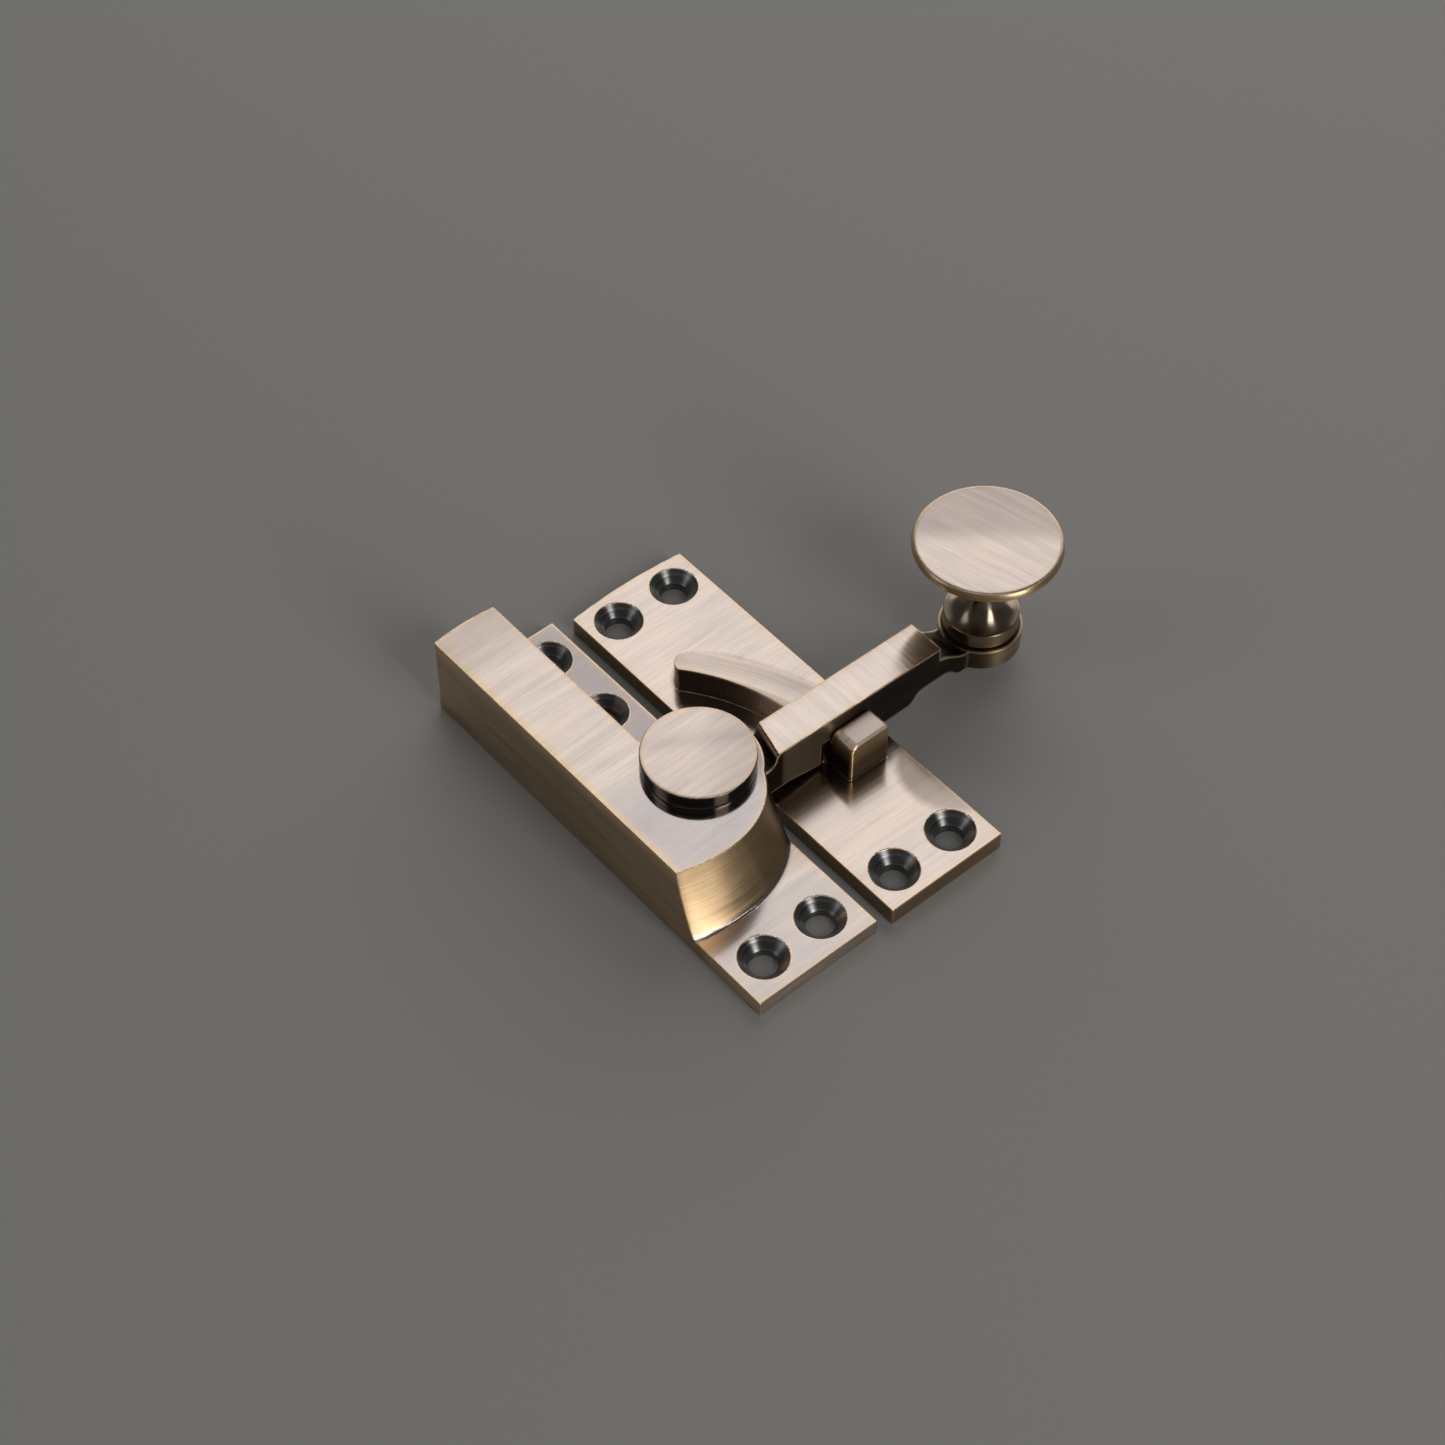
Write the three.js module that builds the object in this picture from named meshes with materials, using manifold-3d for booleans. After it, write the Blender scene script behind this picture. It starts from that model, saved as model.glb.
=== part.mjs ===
// Quadrant sash-window fastener in antique brass, shown locked.
// Millimetres, +Z up. The origin is the pivot axis at the mounting plane.
// +X points from the lever's pivot to its knob, +Y along the two plates.
import * as THREE from 'three';
import { mergeVertices } from 'three/addons/utils/BufferGeometryUtils.js';
import Module from 'manifold-3d';

const wasm = await Module();
wasm.setup();

// ---------------------------------------------------------------- driving dimensions

// Screw holes, the same in both castings
const SCREW_BORE_R = 2.1;
const SCREW_RIM_R = 3.65;

// Body casting: base plate, long spring housing and round deck over the pivot
const BODY_X0 = -14.4;
const BODY_X1 = 6.6;
const BODY_Y0 = -29.6;
const BODY_Y1 = 41.2;
const BODY_BASE_T = 2.6;
const BODY_TOP_Z = 14.1;
const HOUSING_X1 = -3.8;
const DECK_R = 9.0;
const DECK_UNDER_Z = 10.5;
const BODY_SCREW_Y = -24.1;
const BODY_SCREW_SPREAD = 10.2;
const LEDGE_SCREW_X = 1.6;
const LEDGE_SCREW_Y = [23.0, 36.0];

// Front edge of the deck in plan, from the housing's outer side round to the pivot's nose
const DECK_FRONT = [[BODY_X0, -12.4], [-6.4, -15.2], [2.3, -14.1], [5.9, -6.8]];

// The boss under the deck flares out as a hollow cove: [height, reach beyond the deck's edge]
const COVE = [
  [1.6, 4.4],
  [BODY_BASE_T, 4.4],
  [2.95, 3.45],
  [3.8, 2.8],
  [5.4, 2.2],
  [7.6, 1.5],
  [9.7, 0.9],
  [12.0, 0.35],
  [BODY_TOP_Z, 0],
];

// Chamber for the lever's hub, and the spring's hollow behind it
const CHAMBER_FLOOR_Z = 4.2;
const CHAMBER_R = 7.5;
const MOUTH_GAP = 0.4;
const HOLLOW_X0 = -11.9;
const HOLLOW_X1 = -5.2;
const HOLLOW_Y0 = -8.6;
const HOLLOW_Y1 = 38.7;
const HOLLOW_TOP_Z = 11.2;

// Keep casting: plate, quadrant ridge and stop block
const KEEP_X0 = 9.1;
const KEEP_X1 = 29.5;
const KEEP_Y0 = -30.0;
const KEEP_Y1 = 40.0;
const KEEP_T = 3.05;
const KEEP_SCREW_SPREAD = 10.5;
const KEEP_SCREW_Y = 29.9;
const RIDGE_TOP_Z = 7.75;
const RIDGE_INNER = { x: -11.8, y: -1.0, r: 31.2 };
const RIDGE_OUTER = { x: -20.1, y: -8.0, r: 50.2 };
const RIDGE_SLOPE = 0.573;
const RIDGE_TIP = { x: 16.7, y: 18.1, r: 4.65 };
const RIDGE_TIP_INNER_Y = 19.0;
const RIDGE_TIP_OUTER_Y = 20.9;
const STOP_X0 = 19.8;
const STOP_X1 = 26.9;
const STOP_Y0 = -9.5;
const STOP_Y1 = -5.3;
const STOP_TOP_Z = 9.9;

// Lever arm
const ARM_Y0 = -5.0;
const ARM_Y1 = 1.2;
const ARM_MID_Y = (ARM_Y0 + ARM_Y1) / 2;
const ARM_TOP_Z = 12.2;
const ARM_UNDER_Z = 3.9;
const TONGUE_Z0 = 4.9;
const TONGUE_Z1 = 10.0;
const SHOULDER_X = 11.1;
const SHOULDER_SLANT = 0.26;
const TONGUE_X = 8.0;
const BAR_END_X = 40.8;
const NECK_UNDER_Z = 5.3;
const NECK_TOP_Z = 9.2;
const EYE_X = 51.8;
const EYE_R = 6.4;
const EYE_Z0 = 3.5;
const EYE_Z1 = 7.2;

// Underside of the bar as [x, z]: the tongue, the groove that straddles the ridge, the hooked lug
const ARM_UNDERSIDE = [
  [2, TONGUE_Z0],
  [12.5, TONGUE_Z0],
  [17.6, ARM_UNDER_Z],
  [18.3, ARM_UNDER_Z],
  [18.3, 8.15],
  [22.4, 8.15],
  [30.2, EYE_Z0],
  [35.4, EYE_Z0],
  [36.9, NECK_UNDER_Z],
  [41.8, NECK_UNDER_Z],
];
const CAM_FLAT = 5.5;
const CAM_CORNER_R = 7.0;
const HUB_R = 6.0;

// Pivot pin and its washers
const PIN_R = 3.0;
const CAP_R = 8.1;
const CAP_T = 2.4;
const RUNNING_GAP = 0.08;
const SEAT_GAP = 0.02;
const RIVET_WASHER_R = 5.0;
const RIVET_WASHER_T = 1.0;
const THRUST_R = 5.3;
const UPPER_WASHER_T = 0.4;
const LOWER_WASHER_T = 0.6;

// Leaf spring and the two pins that hold it
const LEAF_T = 0.7;
const LEAF_Z0 = 4.9;
const LEAF_Z1 = 10.0;
const LEAF_Y0 = -7.5;
const LEAF_Y1 = 37.8;
const LEAF_STRAIGHT_Y = 7;
const LEAF_BOW = 2.4;
const SPRING_PIN_R = 1.3;
const SPRING_PIN_Z0 = 1.2;
const SPRING_PIN_Z1 = 12.6;
const FULCRUM_Y = 20.0;
const ANCHOR_Y = 35.5;

// Knob and its washer
const KNOB_R = 10.85;
const KNOB_TOP_Z = 24.1;
const KNOB_DOME = 0.5;
const KNOB_RIM_T = 2.2;
const KNOB_FLANGE_R = 5.55;
const KNOB_FLANGE_Z = 9.72;
const SPIGOT_R = 2.3;

// Waist of the knob as [radius, z], from the flange up to the underside of its disc
const KNOB_WAIST = [
  [5.05, 10.0],
  [4.0, 10.5],
  [2.8, 11.7],
  [2.1, 13.7],
  [1.8, 16.2],
  [2.1, 18.5],
  [3.6, 20.3],
];
const KNOB_WASHER_R = 4.2;
const KNOB_WASHER_T = 0.6;

// Facets
const ROUND = 48;
const SMALL_ROUND = 24;
const WIDE_ROUND = 180;
const ARC_STEPS = 12;

// How far a cutting or joining shape runs past the face that it meets
const OVERRUN = 1;

// ---------------------------------------------------------------- materials

const metal = (color, roughness) => new THREE.MeshStandardMaterial({ color, roughness, metalness: 1 });

// ---------------------------------------------------------------- solids

// A closed geometry with shared corners and no collapsed faces, as a solid
function solid(geometry) {
  geometry.deleteAttribute('normal');
  geometry.deleteAttribute('uv');
  const merged = mergeVertices(geometry, 1e-4);
  const corners = [];
  for (let i = 0; i < merged.index.count; i += 3) {
    const [a, b, c] = [0, 1, 2].map((k) => merged.index.getX(i + k));
    if (a !== b && b !== c && c !== a) corners.push(a, b, c);
  }
  return new wasm.Manifold(new wasm.Mesh({
    numProp: 3,
    vertProperties: new Float32Array(merged.attributes.position.array),
    triVerts: new Uint32Array(corners),
  }));
}

function prism(shape, z0, z1, curveSegments = ARC_STEPS) {
  const geometry = new THREE.ExtrudeGeometry(shape, { depth: z1 - z0, bevelEnabled: false, curveSegments });
  return solid(geometry.translate(0, 0, z0));
}

function box(x0, x1, y0, y1, z0, z1) {
  const geometry = new THREE.BoxGeometry(x1 - x0, y1 - y0, z1 - z0);
  return solid(geometry.translate((x0 + x1) / 2, (y0 + y1) / 2, (z0 + z1) / 2));
}

// Turned about a vertical axis at (x, y); the profile runs upwards as [radius, z] pairs
function turned(profile, x = 0, y = 0, segments = ROUND) {
  const points = profile.map(([r, z]) => new THREE.Vector2(r, z));
  const geometry = new THREE.LatheGeometry(points, segments).rotateX(Math.PI / 2);
  return solid(geometry.translate(x, y, 0));
}

function cylinder(r, z0, z1, x = 0, y = 0, segments = ROUND) {
  return turned([[0, z0], [r, z0], [r, z1], [0, z1]], x, y, segments);
}

function ring(rIn, rOut, z0, z1, x = 0, y = 0, segments = ROUND) {
  return turned([[rIn, z0], [rOut, z0], [rOut, z1], [rIn, z1], [rIn, z0]], x, y, segments);
}

// Skins a stack of outlines that all have the same number of points
function loft(outlines, heights) {
  const count = outlines[0].length;
  const positions = [];
  outlines.forEach((outline, k) => outline.forEach((p) => positions.push(p.x, p.y, heights[k])));
  const faces = [];
  for (let k = 0; k + 1 < outlines.length; k += 1) {
    for (let i = 0; i < count; i += 1) {
      const j = (i + 1) % count;
      const low = k * count;
      const high = low + count;
      faces.push(low + i, low + j, high + j, low + i, high + j, high + i);
    }
  }
  const last = (outlines.length - 1) * count;
  THREE.ShapeUtils.triangulateShape(outlines[0], []).forEach(([a, b, c]) => faces.push(c, b, a));
  THREE.ShapeUtils.triangulateShape(outlines[outlines.length - 1], [])
    .forEach(([a, b, c]) => faces.push(last + a, last + b, last + c));
  const geometry = new THREE.BufferGeometry();
  geometry.setAttribute('position', new THREE.Float32BufferAttribute(positions, 3));
  geometry.setIndex(faces);
  return solid(geometry);
}

function countersunkHole(x, y, thickness) {
  const coneDepth = SCREW_RIM_R - SCREW_BORE_R;
  return turned([
    [0, -OVERRUN],
    [SCREW_BORE_R, -OVERRUN],
    [SCREW_BORE_R, thickness - coneDepth],
    [SCREW_RIM_R, thickness],
    [SCREW_RIM_R, thickness + OVERRUN],
    [0, thickness + OVERRUN],
  ], x, y, SMALL_ROUND);
}

function named(name, part, material) {
  const { vertProperties, triVerts } = part.getMesh();
  const geometry = new THREE.BufferGeometry();
  geometry.setAttribute('position', new THREE.Float32BufferAttribute(vertProperties, 3));
  geometry.setIndex(Array.from(triVerts));
  geometry.computeVertexNormals();
  const mesh = new THREE.Mesh(geometry, material);
  mesh.name = name;
  return mesh;
}

// ---------------------------------------------------------------- body casting

// Plan of the boss at one height: the deck's front edge pushed outwards, closed well inside the housing
function bossPlan(reach) {
  const front = new THREE.CubicBezierCurve(...DECK_FRONT.map(([x, y]) => new THREE.Vector2(x, y)));
  const steps = 16;
  const edge = [];
  for (let i = 0; i <= steps; i += 1) {
    const along = front.getTangent(i / steps);
    const outward = new THREE.Vector2(along.y, -along.x);
    edge.push(front.getPoint(i / steps).addScaledVector(outward, reach));
  }
  const leadIn = 3;
  const leadOut = 6;
  const backY = 2;
  return [
    new THREE.Vector2(2 * BODY_X0, backY),
    edge[0].clone().addScaledVector(front.getTangent(0), -leadIn),
    ...edge,
    edge[steps].clone().addScaledVector(front.getTangent(1), leadOut),
    new THREE.Vector2(2 * BODY_X1, backY),
  ];
}

function bodyCasting() {
  const rootZ = BODY_BASE_T - OVERRUN;
  const base = box(BODY_X0, BODY_X1, BODY_Y0, BODY_Y1, 0, BODY_BASE_T);
  const housing = box(BODY_X0, HOUSING_X1, 0, BODY_Y1, rootZ, BODY_TOP_Z);
  const boss = loft(COVE.map(([, reach]) => bossPlan(reach)), COVE.map(([z]) => z))
    .intersect(box(BODY_X0, BODY_X1, BODY_Y0, OVERRUN, 0, BODY_TOP_Z));
  const pedestal = cylinder(DECK_R, rootZ, BODY_TOP_Z)
    .intersect(box(HOUSING_X1, BODY_X1, -DECK_R, DECK_R, 0, BODY_TOP_Z));
  const nose = cylinder(DECK_R, DECK_UNDER_Z, BODY_TOP_Z);

  // The chamber is open towards the lever, on the whole quarter that it swings through
  const outside = DECK_R + OVERRUN;
  const chamber = cylinder(CHAMBER_R, CHAMBER_FLOOR_Z, DECK_UNDER_Z);
  const lockedMouth = box(0, outside, ARM_Y0 - MOUTH_GAP, outside, CHAMBER_FLOOR_Z, DECK_UNDER_Z);
  const parkedMouth = box(HOUSING_X1, outside, 0, outside, CHAMBER_FLOOR_Z, DECK_UNDER_Z);
  const hollow = box(HOLLOW_X0, HOLLOW_X1, HOLLOW_Y0, HOLLOW_Y1, -OVERRUN, HOLLOW_TOP_Z);
  const pinBore = cylinder(PIN_R + SEAT_GAP, -OVERRUN, BODY_TOP_Z + OVERRUN);
  const rivetSeat = cylinder(RIVET_WASHER_R + SEAT_GAP, -OVERRUN, RIVET_WASHER_T + SEAT_GAP);

  let body = base.add(housing).add(boss).add(pedestal).add(nose);
  for (const cut of [chamber, lockedMouth, parkedMouth, hollow, pinBore, rivetSeat]) {
    body = body.subtract(cut);
  }
  for (const [x, y] of springPinPlaces()) {
    const top = SPRING_PIN_Z1 + SEAT_GAP;
    body = body.subtract(
      cylinder(SPRING_PIN_R + SEAT_GAP, HOLLOW_TOP_Z - OVERRUN, top, x, y, SMALL_ROUND),
    );
  }
  const plateMid = (BODY_X0 + BODY_X1) / 2;
  for (const side of [-1, 1]) {
    const x = plateMid + (side * BODY_SCREW_SPREAD) / 2;
    body = body.subtract(countersunkHole(x, BODY_SCREW_Y, BODY_BASE_T));
  }
  for (const y of LEDGE_SCREW_Y) body = body.subtract(countersunkHole(LEDGE_SCREW_X, y, BODY_BASE_T));
  return body;
}

// ---------------------------------------------------------------- keep casting

// Plan of the curved ridge: outer arc, rounded entry tip, inner arc, and back under the lever
function ridgePlan() {
  const footY = (STOP_Y0 + STOP_Y1) / 2;
  const angleAt = (circle, y) => Math.asin((y - circle.y) / circle.r);
  const tipAngle = (circle, y) => {
    const x = circle.x + Math.sqrt(circle.r ** 2 - (y - circle.y) ** 2);
    return Math.atan2(y - RIDGE_TIP.y, x - RIDGE_TIP.x);
  };
  const arc = (circle, from, to, clockwise) => (
    shape.absarc(circle.x, circle.y, circle.r, from, to, clockwise)
  );
  const shape = new THREE.Shape();
  arc(RIDGE_OUTER, angleAt(RIDGE_OUTER, footY), angleAt(RIDGE_OUTER, RIDGE_TIP_OUTER_Y), false);
  arc(RIDGE_TIP, tipAngle(RIDGE_OUTER, RIDGE_TIP_OUTER_Y), tipAngle(RIDGE_INNER, RIDGE_TIP_INNER_Y), false);
  arc(RIDGE_INNER, angleAt(RIDGE_INNER, RIDGE_TIP_INNER_Y), angleAt(RIDGE_INNER, footY), true);
  shape.closePath();
  return shape;
}

// The ridge's top falls outwards, as part of a shallow cone, and meets the plate at the outer arc
function quadrantRidge() {
  const { x, y, r } = RIDGE_OUTER;
  const rootZ = KEEP_T - OVERRUN;
  const rootR = r + OVERRUN / RIDGE_SLOPE;
  const crestR = rootR - (RIDGE_TOP_Z - rootZ) / RIDGE_SLOPE;
  const slopeTop = turned(
    [[0, rootZ], [rootR, rootZ], [crestR, RIDGE_TOP_Z], [0, RIDGE_TOP_Z]],
    x, y, WIDE_ROUND,
  );
  return prism(ridgePlan(), rootZ, RIDGE_TOP_Z + OVERRUN).intersect(slopeTop);
}

function keepCasting() {
  const plate = box(KEEP_X0, KEEP_X1, KEEP_Y0, KEEP_Y1, 0, KEEP_T);
  const ridge = quadrantRidge().intersect(box(KEEP_X0, KEEP_X1, KEEP_Y0, KEEP_Y1, 0, STOP_TOP_Z));
  const stop = box(STOP_X0, STOP_X1, STOP_Y0, STOP_Y1, KEEP_T - OVERRUN, STOP_TOP_Z);
  let keep = plate.add(ridge).add(stop);
  const midX = (KEEP_X0 + KEEP_X1) / 2;
  const midY = (KEEP_Y0 + KEEP_Y1) / 2;
  for (const sideX of [-1, 1]) {
    for (const sideY of [-1, 1]) {
      const x = midX + (sideX * KEEP_SCREW_SPREAD) / 2;
      keep = keep.subtract(countersunkHole(x, midY + sideY * KEEP_SCREW_Y, KEEP_T));
    }
  }
  return keep;
}

// ---------------------------------------------------------------- lever arm

// Side view of the bar and its joggled neck, as x and z
function armSide() {
  const side = new THREE.Shape(ARM_UNDERSIDE.map(([x, z]) => new THREE.Vector2(x, z)));
  const neckFootX = 46;
  side.bezierCurveTo(43.6, NECK_UNDER_Z, 43.8, EYE_Z0, neckFootX, EYE_Z0);
  side.lineTo(EYE_X, EYE_Z0);
  side.lineTo(EYE_X, EYE_Z1);
  side.lineTo(neckFootX, EYE_Z1);
  side.bezierCurveTo(44.2, EYE_Z1, 43.0, NECK_TOP_Z, BAR_END_X, NECK_TOP_Z);
  side.lineTo(BAR_END_X, ARM_TOP_Z);
  side.lineTo(TONGUE_X, ARM_TOP_Z);
  side.lineTo(TONGUE_X, TONGUE_Z1);
  side.lineTo(ARM_UNDERSIDE[0][0], TONGUE_Z1);
  side.closePath();
  return side;
}

// Hub with two cam flats, one pressed by the spring when locked and one when parked
function hubPlan() {
  const plan = new THREE.Shape();
  const reach = Math.sqrt(CAM_CORNER_R ** 2 - CAM_FLAT ** 2);
  const corner = Math.atan2(reach, CAM_FLAT);
  const flatEnd = Math.acos(CAM_FLAT / HUB_R);
  plan.absarc(0, 0, HUB_R, Math.PI + flatEnd, 2.5 * Math.PI - flatEnd, false);
  plan.absarc(0, 0, CAM_CORNER_R, Math.PI - (Math.PI / 2 - corner), Math.PI - corner, false);
  plan.closePath();
  return plan;
}

function leverArm() {
  const upright = new THREE.ExtrudeGeometry(armSide(), {
    depth: ARM_Y1 - ARM_Y0, bevelEnabled: false, curveSegments: ARC_STEPS,
  });
  // The side view's z becomes the vertical, and its depth runs towards +Y
  upright.rotateX(Math.PI / 2).translate(0, ARM_Y1, 0);
  const shoulderAt = (y) => SHOULDER_X + SHOULDER_SLANT * (y - ARM_MID_Y);
  const shoulderCut = new THREE.Shape([
    new THREE.Vector2(0, ARM_Y0 - OVERRUN),
    new THREE.Vector2(shoulderAt(ARM_Y0 - OVERRUN), ARM_Y0 - OVERRUN),
    new THREE.Vector2(shoulderAt(ARM_Y1 + OVERRUN), ARM_Y1 + OVERRUN),
    new THREE.Vector2(0, ARM_Y1 + OVERRUN),
  ]);
  const bar = solid(upright).subtract(prism(shoulderCut, TONGUE_Z1, ARM_TOP_Z + OVERRUN));
  const hub = prism(hubPlan(), TONGUE_Z0, TONGUE_Z1);
  const eye = cylinder(EYE_R, EYE_Z0, EYE_Z1, EYE_X, ARM_MID_Y);
  const washerTop = EYE_Z0 + KNOB_WASHER_T + SEAT_GAP;
  const washerSeat = cylinder(
    KNOB_WASHER_R + SEAT_GAP, EYE_Z0 - OVERRUN, washerTop, EYE_X, ARM_MID_Y, SMALL_ROUND,
  );
  return bar.add(hub).add(eye)
    .subtract(cylinder(PIN_R + RUNNING_GAP, 0, BODY_TOP_Z))
    .subtract(cylinder(SPIGOT_R + SEAT_GAP, 0, BODY_TOP_Z, EYE_X, ARM_MID_Y, SMALL_ROUND))
    .subtract(washerSeat);
}

// ---------------------------------------------------------------- pins, washers, spring, knob

function pivotPin() {
  return turned([
    [0, 0],
    [PIN_R, 0],
    [PIN_R, BODY_TOP_Z + SEAT_GAP],
    [CAP_R, BODY_TOP_Z + SEAT_GAP],
    [CAP_R, BODY_TOP_Z + CAP_T],
    [0, BODY_TOP_Z + CAP_T],
  ]);
}

// The leaf bears on the fulcrum pin's near side and on the anchor pin's far side
function springPinPlaces() {
  const reach = LEAF_T / 2 + SPRING_PIN_R + SEAT_GAP;
  return [
    [leafX(FULCRUM_Y) - reach, FULCRUM_Y],
    [leafX(ANCHOR_Y) + reach, ANCHOR_Y],
  ];
}

// Middle line of the leaf, as x at each y: straight where the cam bears on it, then bowed to its anchor
function leafX(y) {
  const bearingX = -CAM_FLAT - RUNNING_GAP - LEAF_T / 2;
  const share = Math.max(0, (y - LEAF_STRAIGHT_Y) / (ANCHOR_Y - LEAF_STRAIGHT_Y));
  return bearingX - LEAF_BOW * share ** 2;
}

function leafSpring() {
  const steps = 20;
  const side = (shift) => Array.from({ length: steps + 1 }, (_, i) => {
    const y = LEAF_Y0 + ((LEAF_Y1 - LEAF_Y0) * i) / steps;
    return new THREE.Vector2(leafX(y) + shift, y);
  });
  const plan = new THREE.Shape([...side(LEAF_T / 2), ...side(-LEAF_T / 2).reverse()]);
  return prism(plan, LEAF_Z0, LEAF_Z1);
}

function knob() {
  const flangeFootZ = EYE_Z1 + SEAT_GAP;
  const rimZ = KNOB_TOP_Z - KNOB_RIM_T;
  return turned([
    [0, EYE_Z0 + SEAT_GAP],
    [SPIGOT_R, EYE_Z0 + SEAT_GAP],
    [SPIGOT_R, flangeFootZ],
    [KNOB_FLANGE_R, flangeFootZ],
    [KNOB_FLANGE_R, KNOB_FLANGE_Z],
    ...KNOB_WAIST,
    [KNOB_R - 2.4, rimZ - 0.5],
    [KNOB_R - 0.6, rimZ + 0.3],
    [KNOB_R, rimZ + 1.1],
    [KNOB_R, KNOB_TOP_Z - 0.3],
    [KNOB_R - 0.3, KNOB_TOP_Z],
    [KNOB_R * 0.6, KNOB_TOP_Z + KNOB_DOME * 0.7],
    [0, KNOB_TOP_Z + KNOB_DOME],
  ], EYE_X, ARM_MID_Y);
}

function thrustWasher(z0, thickness) {
  return ring(PIN_R + RUNNING_GAP, THRUST_R, z0, z0 + thickness);
}

// ---------------------------------------------------------------- assembly

const body = new THREE.Group();
body.add(
  named('body_casting', bodyCasting(), metal(0xc8b394, 0.32)),
  named('pivot_pin', pivotPin(), metal(0xcdb596, 0.3)),
  named('pivot_washer', ring(
    PIN_R + SEAT_GAP, RIVET_WASHER_R, 0, RIVET_WASHER_T,
  ), metal(0x8d8c88, 0.4)),
  named('upper_thrust_washer', thrustWasher(DECK_UNDER_Z - UPPER_WASHER_T, UPPER_WASHER_T),
    metal(0x9a948a, 0.4)),
  named('lower_thrust_washer', thrustWasher(CHAMBER_FLOOR_Z, LOWER_WASHER_T), metal(0x9a948a, 0.4)),
  named('leaf_spring', leafSpring(), metal(0x6f7276, 0.35)),
);
const [fulcrum, anchor] = springPinPlaces();
for (const [name, [x, y]] of [['spring_fulcrum_pin', fulcrum], ['spring_anchor_pin', anchor]]) {
  const pin = cylinder(SPRING_PIN_R, SPRING_PIN_Z0, SPRING_PIN_Z1, x, y, SMALL_ROUND);
  body.add(named(name, pin, metal(0x83817c, 0.4)));
}

const keep = new THREE.Group();
keep.add(named('keep_casting', keepCasting(), metal(0xc8b394, 0.32)));

const arm = new THREE.Group();
arm.add(
  named('lever_arm', leverArm(), metal(0xbfa787, 0.32)),
  named('knob', knob(), metal(0xcab292, 0.28)),
  named('knob_washer', ring(
    SPIGOT_R + SEAT_GAP, KNOB_WASHER_R, EYE_Z0 + SEAT_GAP, EYE_Z0 + KNOB_WASHER_T,
    EYE_X, ARM_MID_Y, SMALL_ROUND,
  ), metal(0x9c8768, 0.4)),
);

const fastener = new THREE.Group();
fastener.add(body, keep, arm);

export default fastener;
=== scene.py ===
"""Looks of a quadrant sash-window fastener in brushed antique brass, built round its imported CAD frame.

Shapes are worked out in millimetres, in the frame's own axes, and become metres when a mesh is made.
The castings and the lever are signed distance fields, skinned so that their edges stay crisp. What is
turned on the real object is turned here.
"""
import math

import bpy
import numpy as np
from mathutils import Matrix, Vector


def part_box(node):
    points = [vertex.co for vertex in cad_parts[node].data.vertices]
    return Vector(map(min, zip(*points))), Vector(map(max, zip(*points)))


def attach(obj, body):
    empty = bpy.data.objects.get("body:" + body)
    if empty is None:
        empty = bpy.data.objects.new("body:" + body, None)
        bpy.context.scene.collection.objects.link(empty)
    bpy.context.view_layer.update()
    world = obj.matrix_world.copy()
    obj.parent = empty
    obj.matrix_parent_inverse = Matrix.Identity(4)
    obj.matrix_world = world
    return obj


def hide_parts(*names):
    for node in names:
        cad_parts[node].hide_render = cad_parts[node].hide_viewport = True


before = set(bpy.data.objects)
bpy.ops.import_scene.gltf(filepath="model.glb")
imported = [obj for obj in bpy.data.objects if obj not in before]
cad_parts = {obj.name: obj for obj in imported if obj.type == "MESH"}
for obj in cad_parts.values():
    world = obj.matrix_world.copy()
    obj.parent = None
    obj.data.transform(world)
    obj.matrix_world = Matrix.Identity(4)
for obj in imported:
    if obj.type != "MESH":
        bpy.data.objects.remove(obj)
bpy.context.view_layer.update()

MM = 0.001
FIXED = "mounted_plates"
LEVER = "lever"


def box_mm(node):
    """Lowest and highest corner of a CAD node, in millimetres."""
    lo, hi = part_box(node)
    return np.array(lo) / MM, np.array(hi) / MM


# -------------------- dimensions, in millimetres

BODY_LO, BODY_HI = box_mm("body_casting")
KEEP_LO, KEEP_HI = box_mm("keep_casting")
ARM_LO, ARM_HI = box_mm("lever_arm")
KNOB_LO, KNOB_HI = box_mm("knob")
PIN_TOP_Z = box_mm("pivot_pin")[1][2]

# Rounding of an edge that the mesh draws as one line
CRISP = 0.05
# Size of the cells that the castings and the lever are skinned with
CASTING_CELL = 0.22
LEVER_CELL = 0.2

SCREW_BORE_R = 2.1
SCREW_RIM_R = 3.65
PIVOT = (0.0, 0.0)
PIVOT_BORE_R = 3.08
SPIGOT_BORE_R = 2.32

# The far ends are slightly bowed
KEEP_END_R = 90.0
HOUSING_END_R = 34.0
END_CORNER_R = 0.9
# How far from the far end the housing's bow begins
END_ZONE = 8.0

# Body casting. Its plate ends at PLATE_X1; the round deck reaches further, as far as the CAD box does.
BASE_T = 2.6
PLATE_X1 = 6.6
DECK_Z = BODY_HI[2]
DECK_R = BODY_HI[0]
DECK_UNDER_Z = 10.5
HOUSING_X1 = -3.8
DECK_FRONT = ((BODY_LO[0], -12.4), (-6.4, -15.2), (2.3, -14.1), (5.9, -6.8))
# How far the boss reaches out past the deck's front, at each height: z and reach
COVE = ((2.6, 3.3), (3.8, 2.75), (5.4, 2.2), (7.6, 1.5), (9.7, 0.9), (12.0, 0.35), (DECK_Z, 0.0))
BODY_SCREWS = ((-9.0, -24.1), (1.2, -24.1), (1.6, 23.0), (1.6, 36.0))
CHAMBER_R = 7.5
CHAMBER_FLOOR_Z = 4.2
HOLLOW = ((-11.9, -8.6), (-5.2, 38.7))
HOLLOW_TOP_Z = 11.2
PIN_HOLE_R = 3.0
PIVOT_SEAT_R = 5.02
PIVOT_SEAT_Z = 1.02

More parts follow.
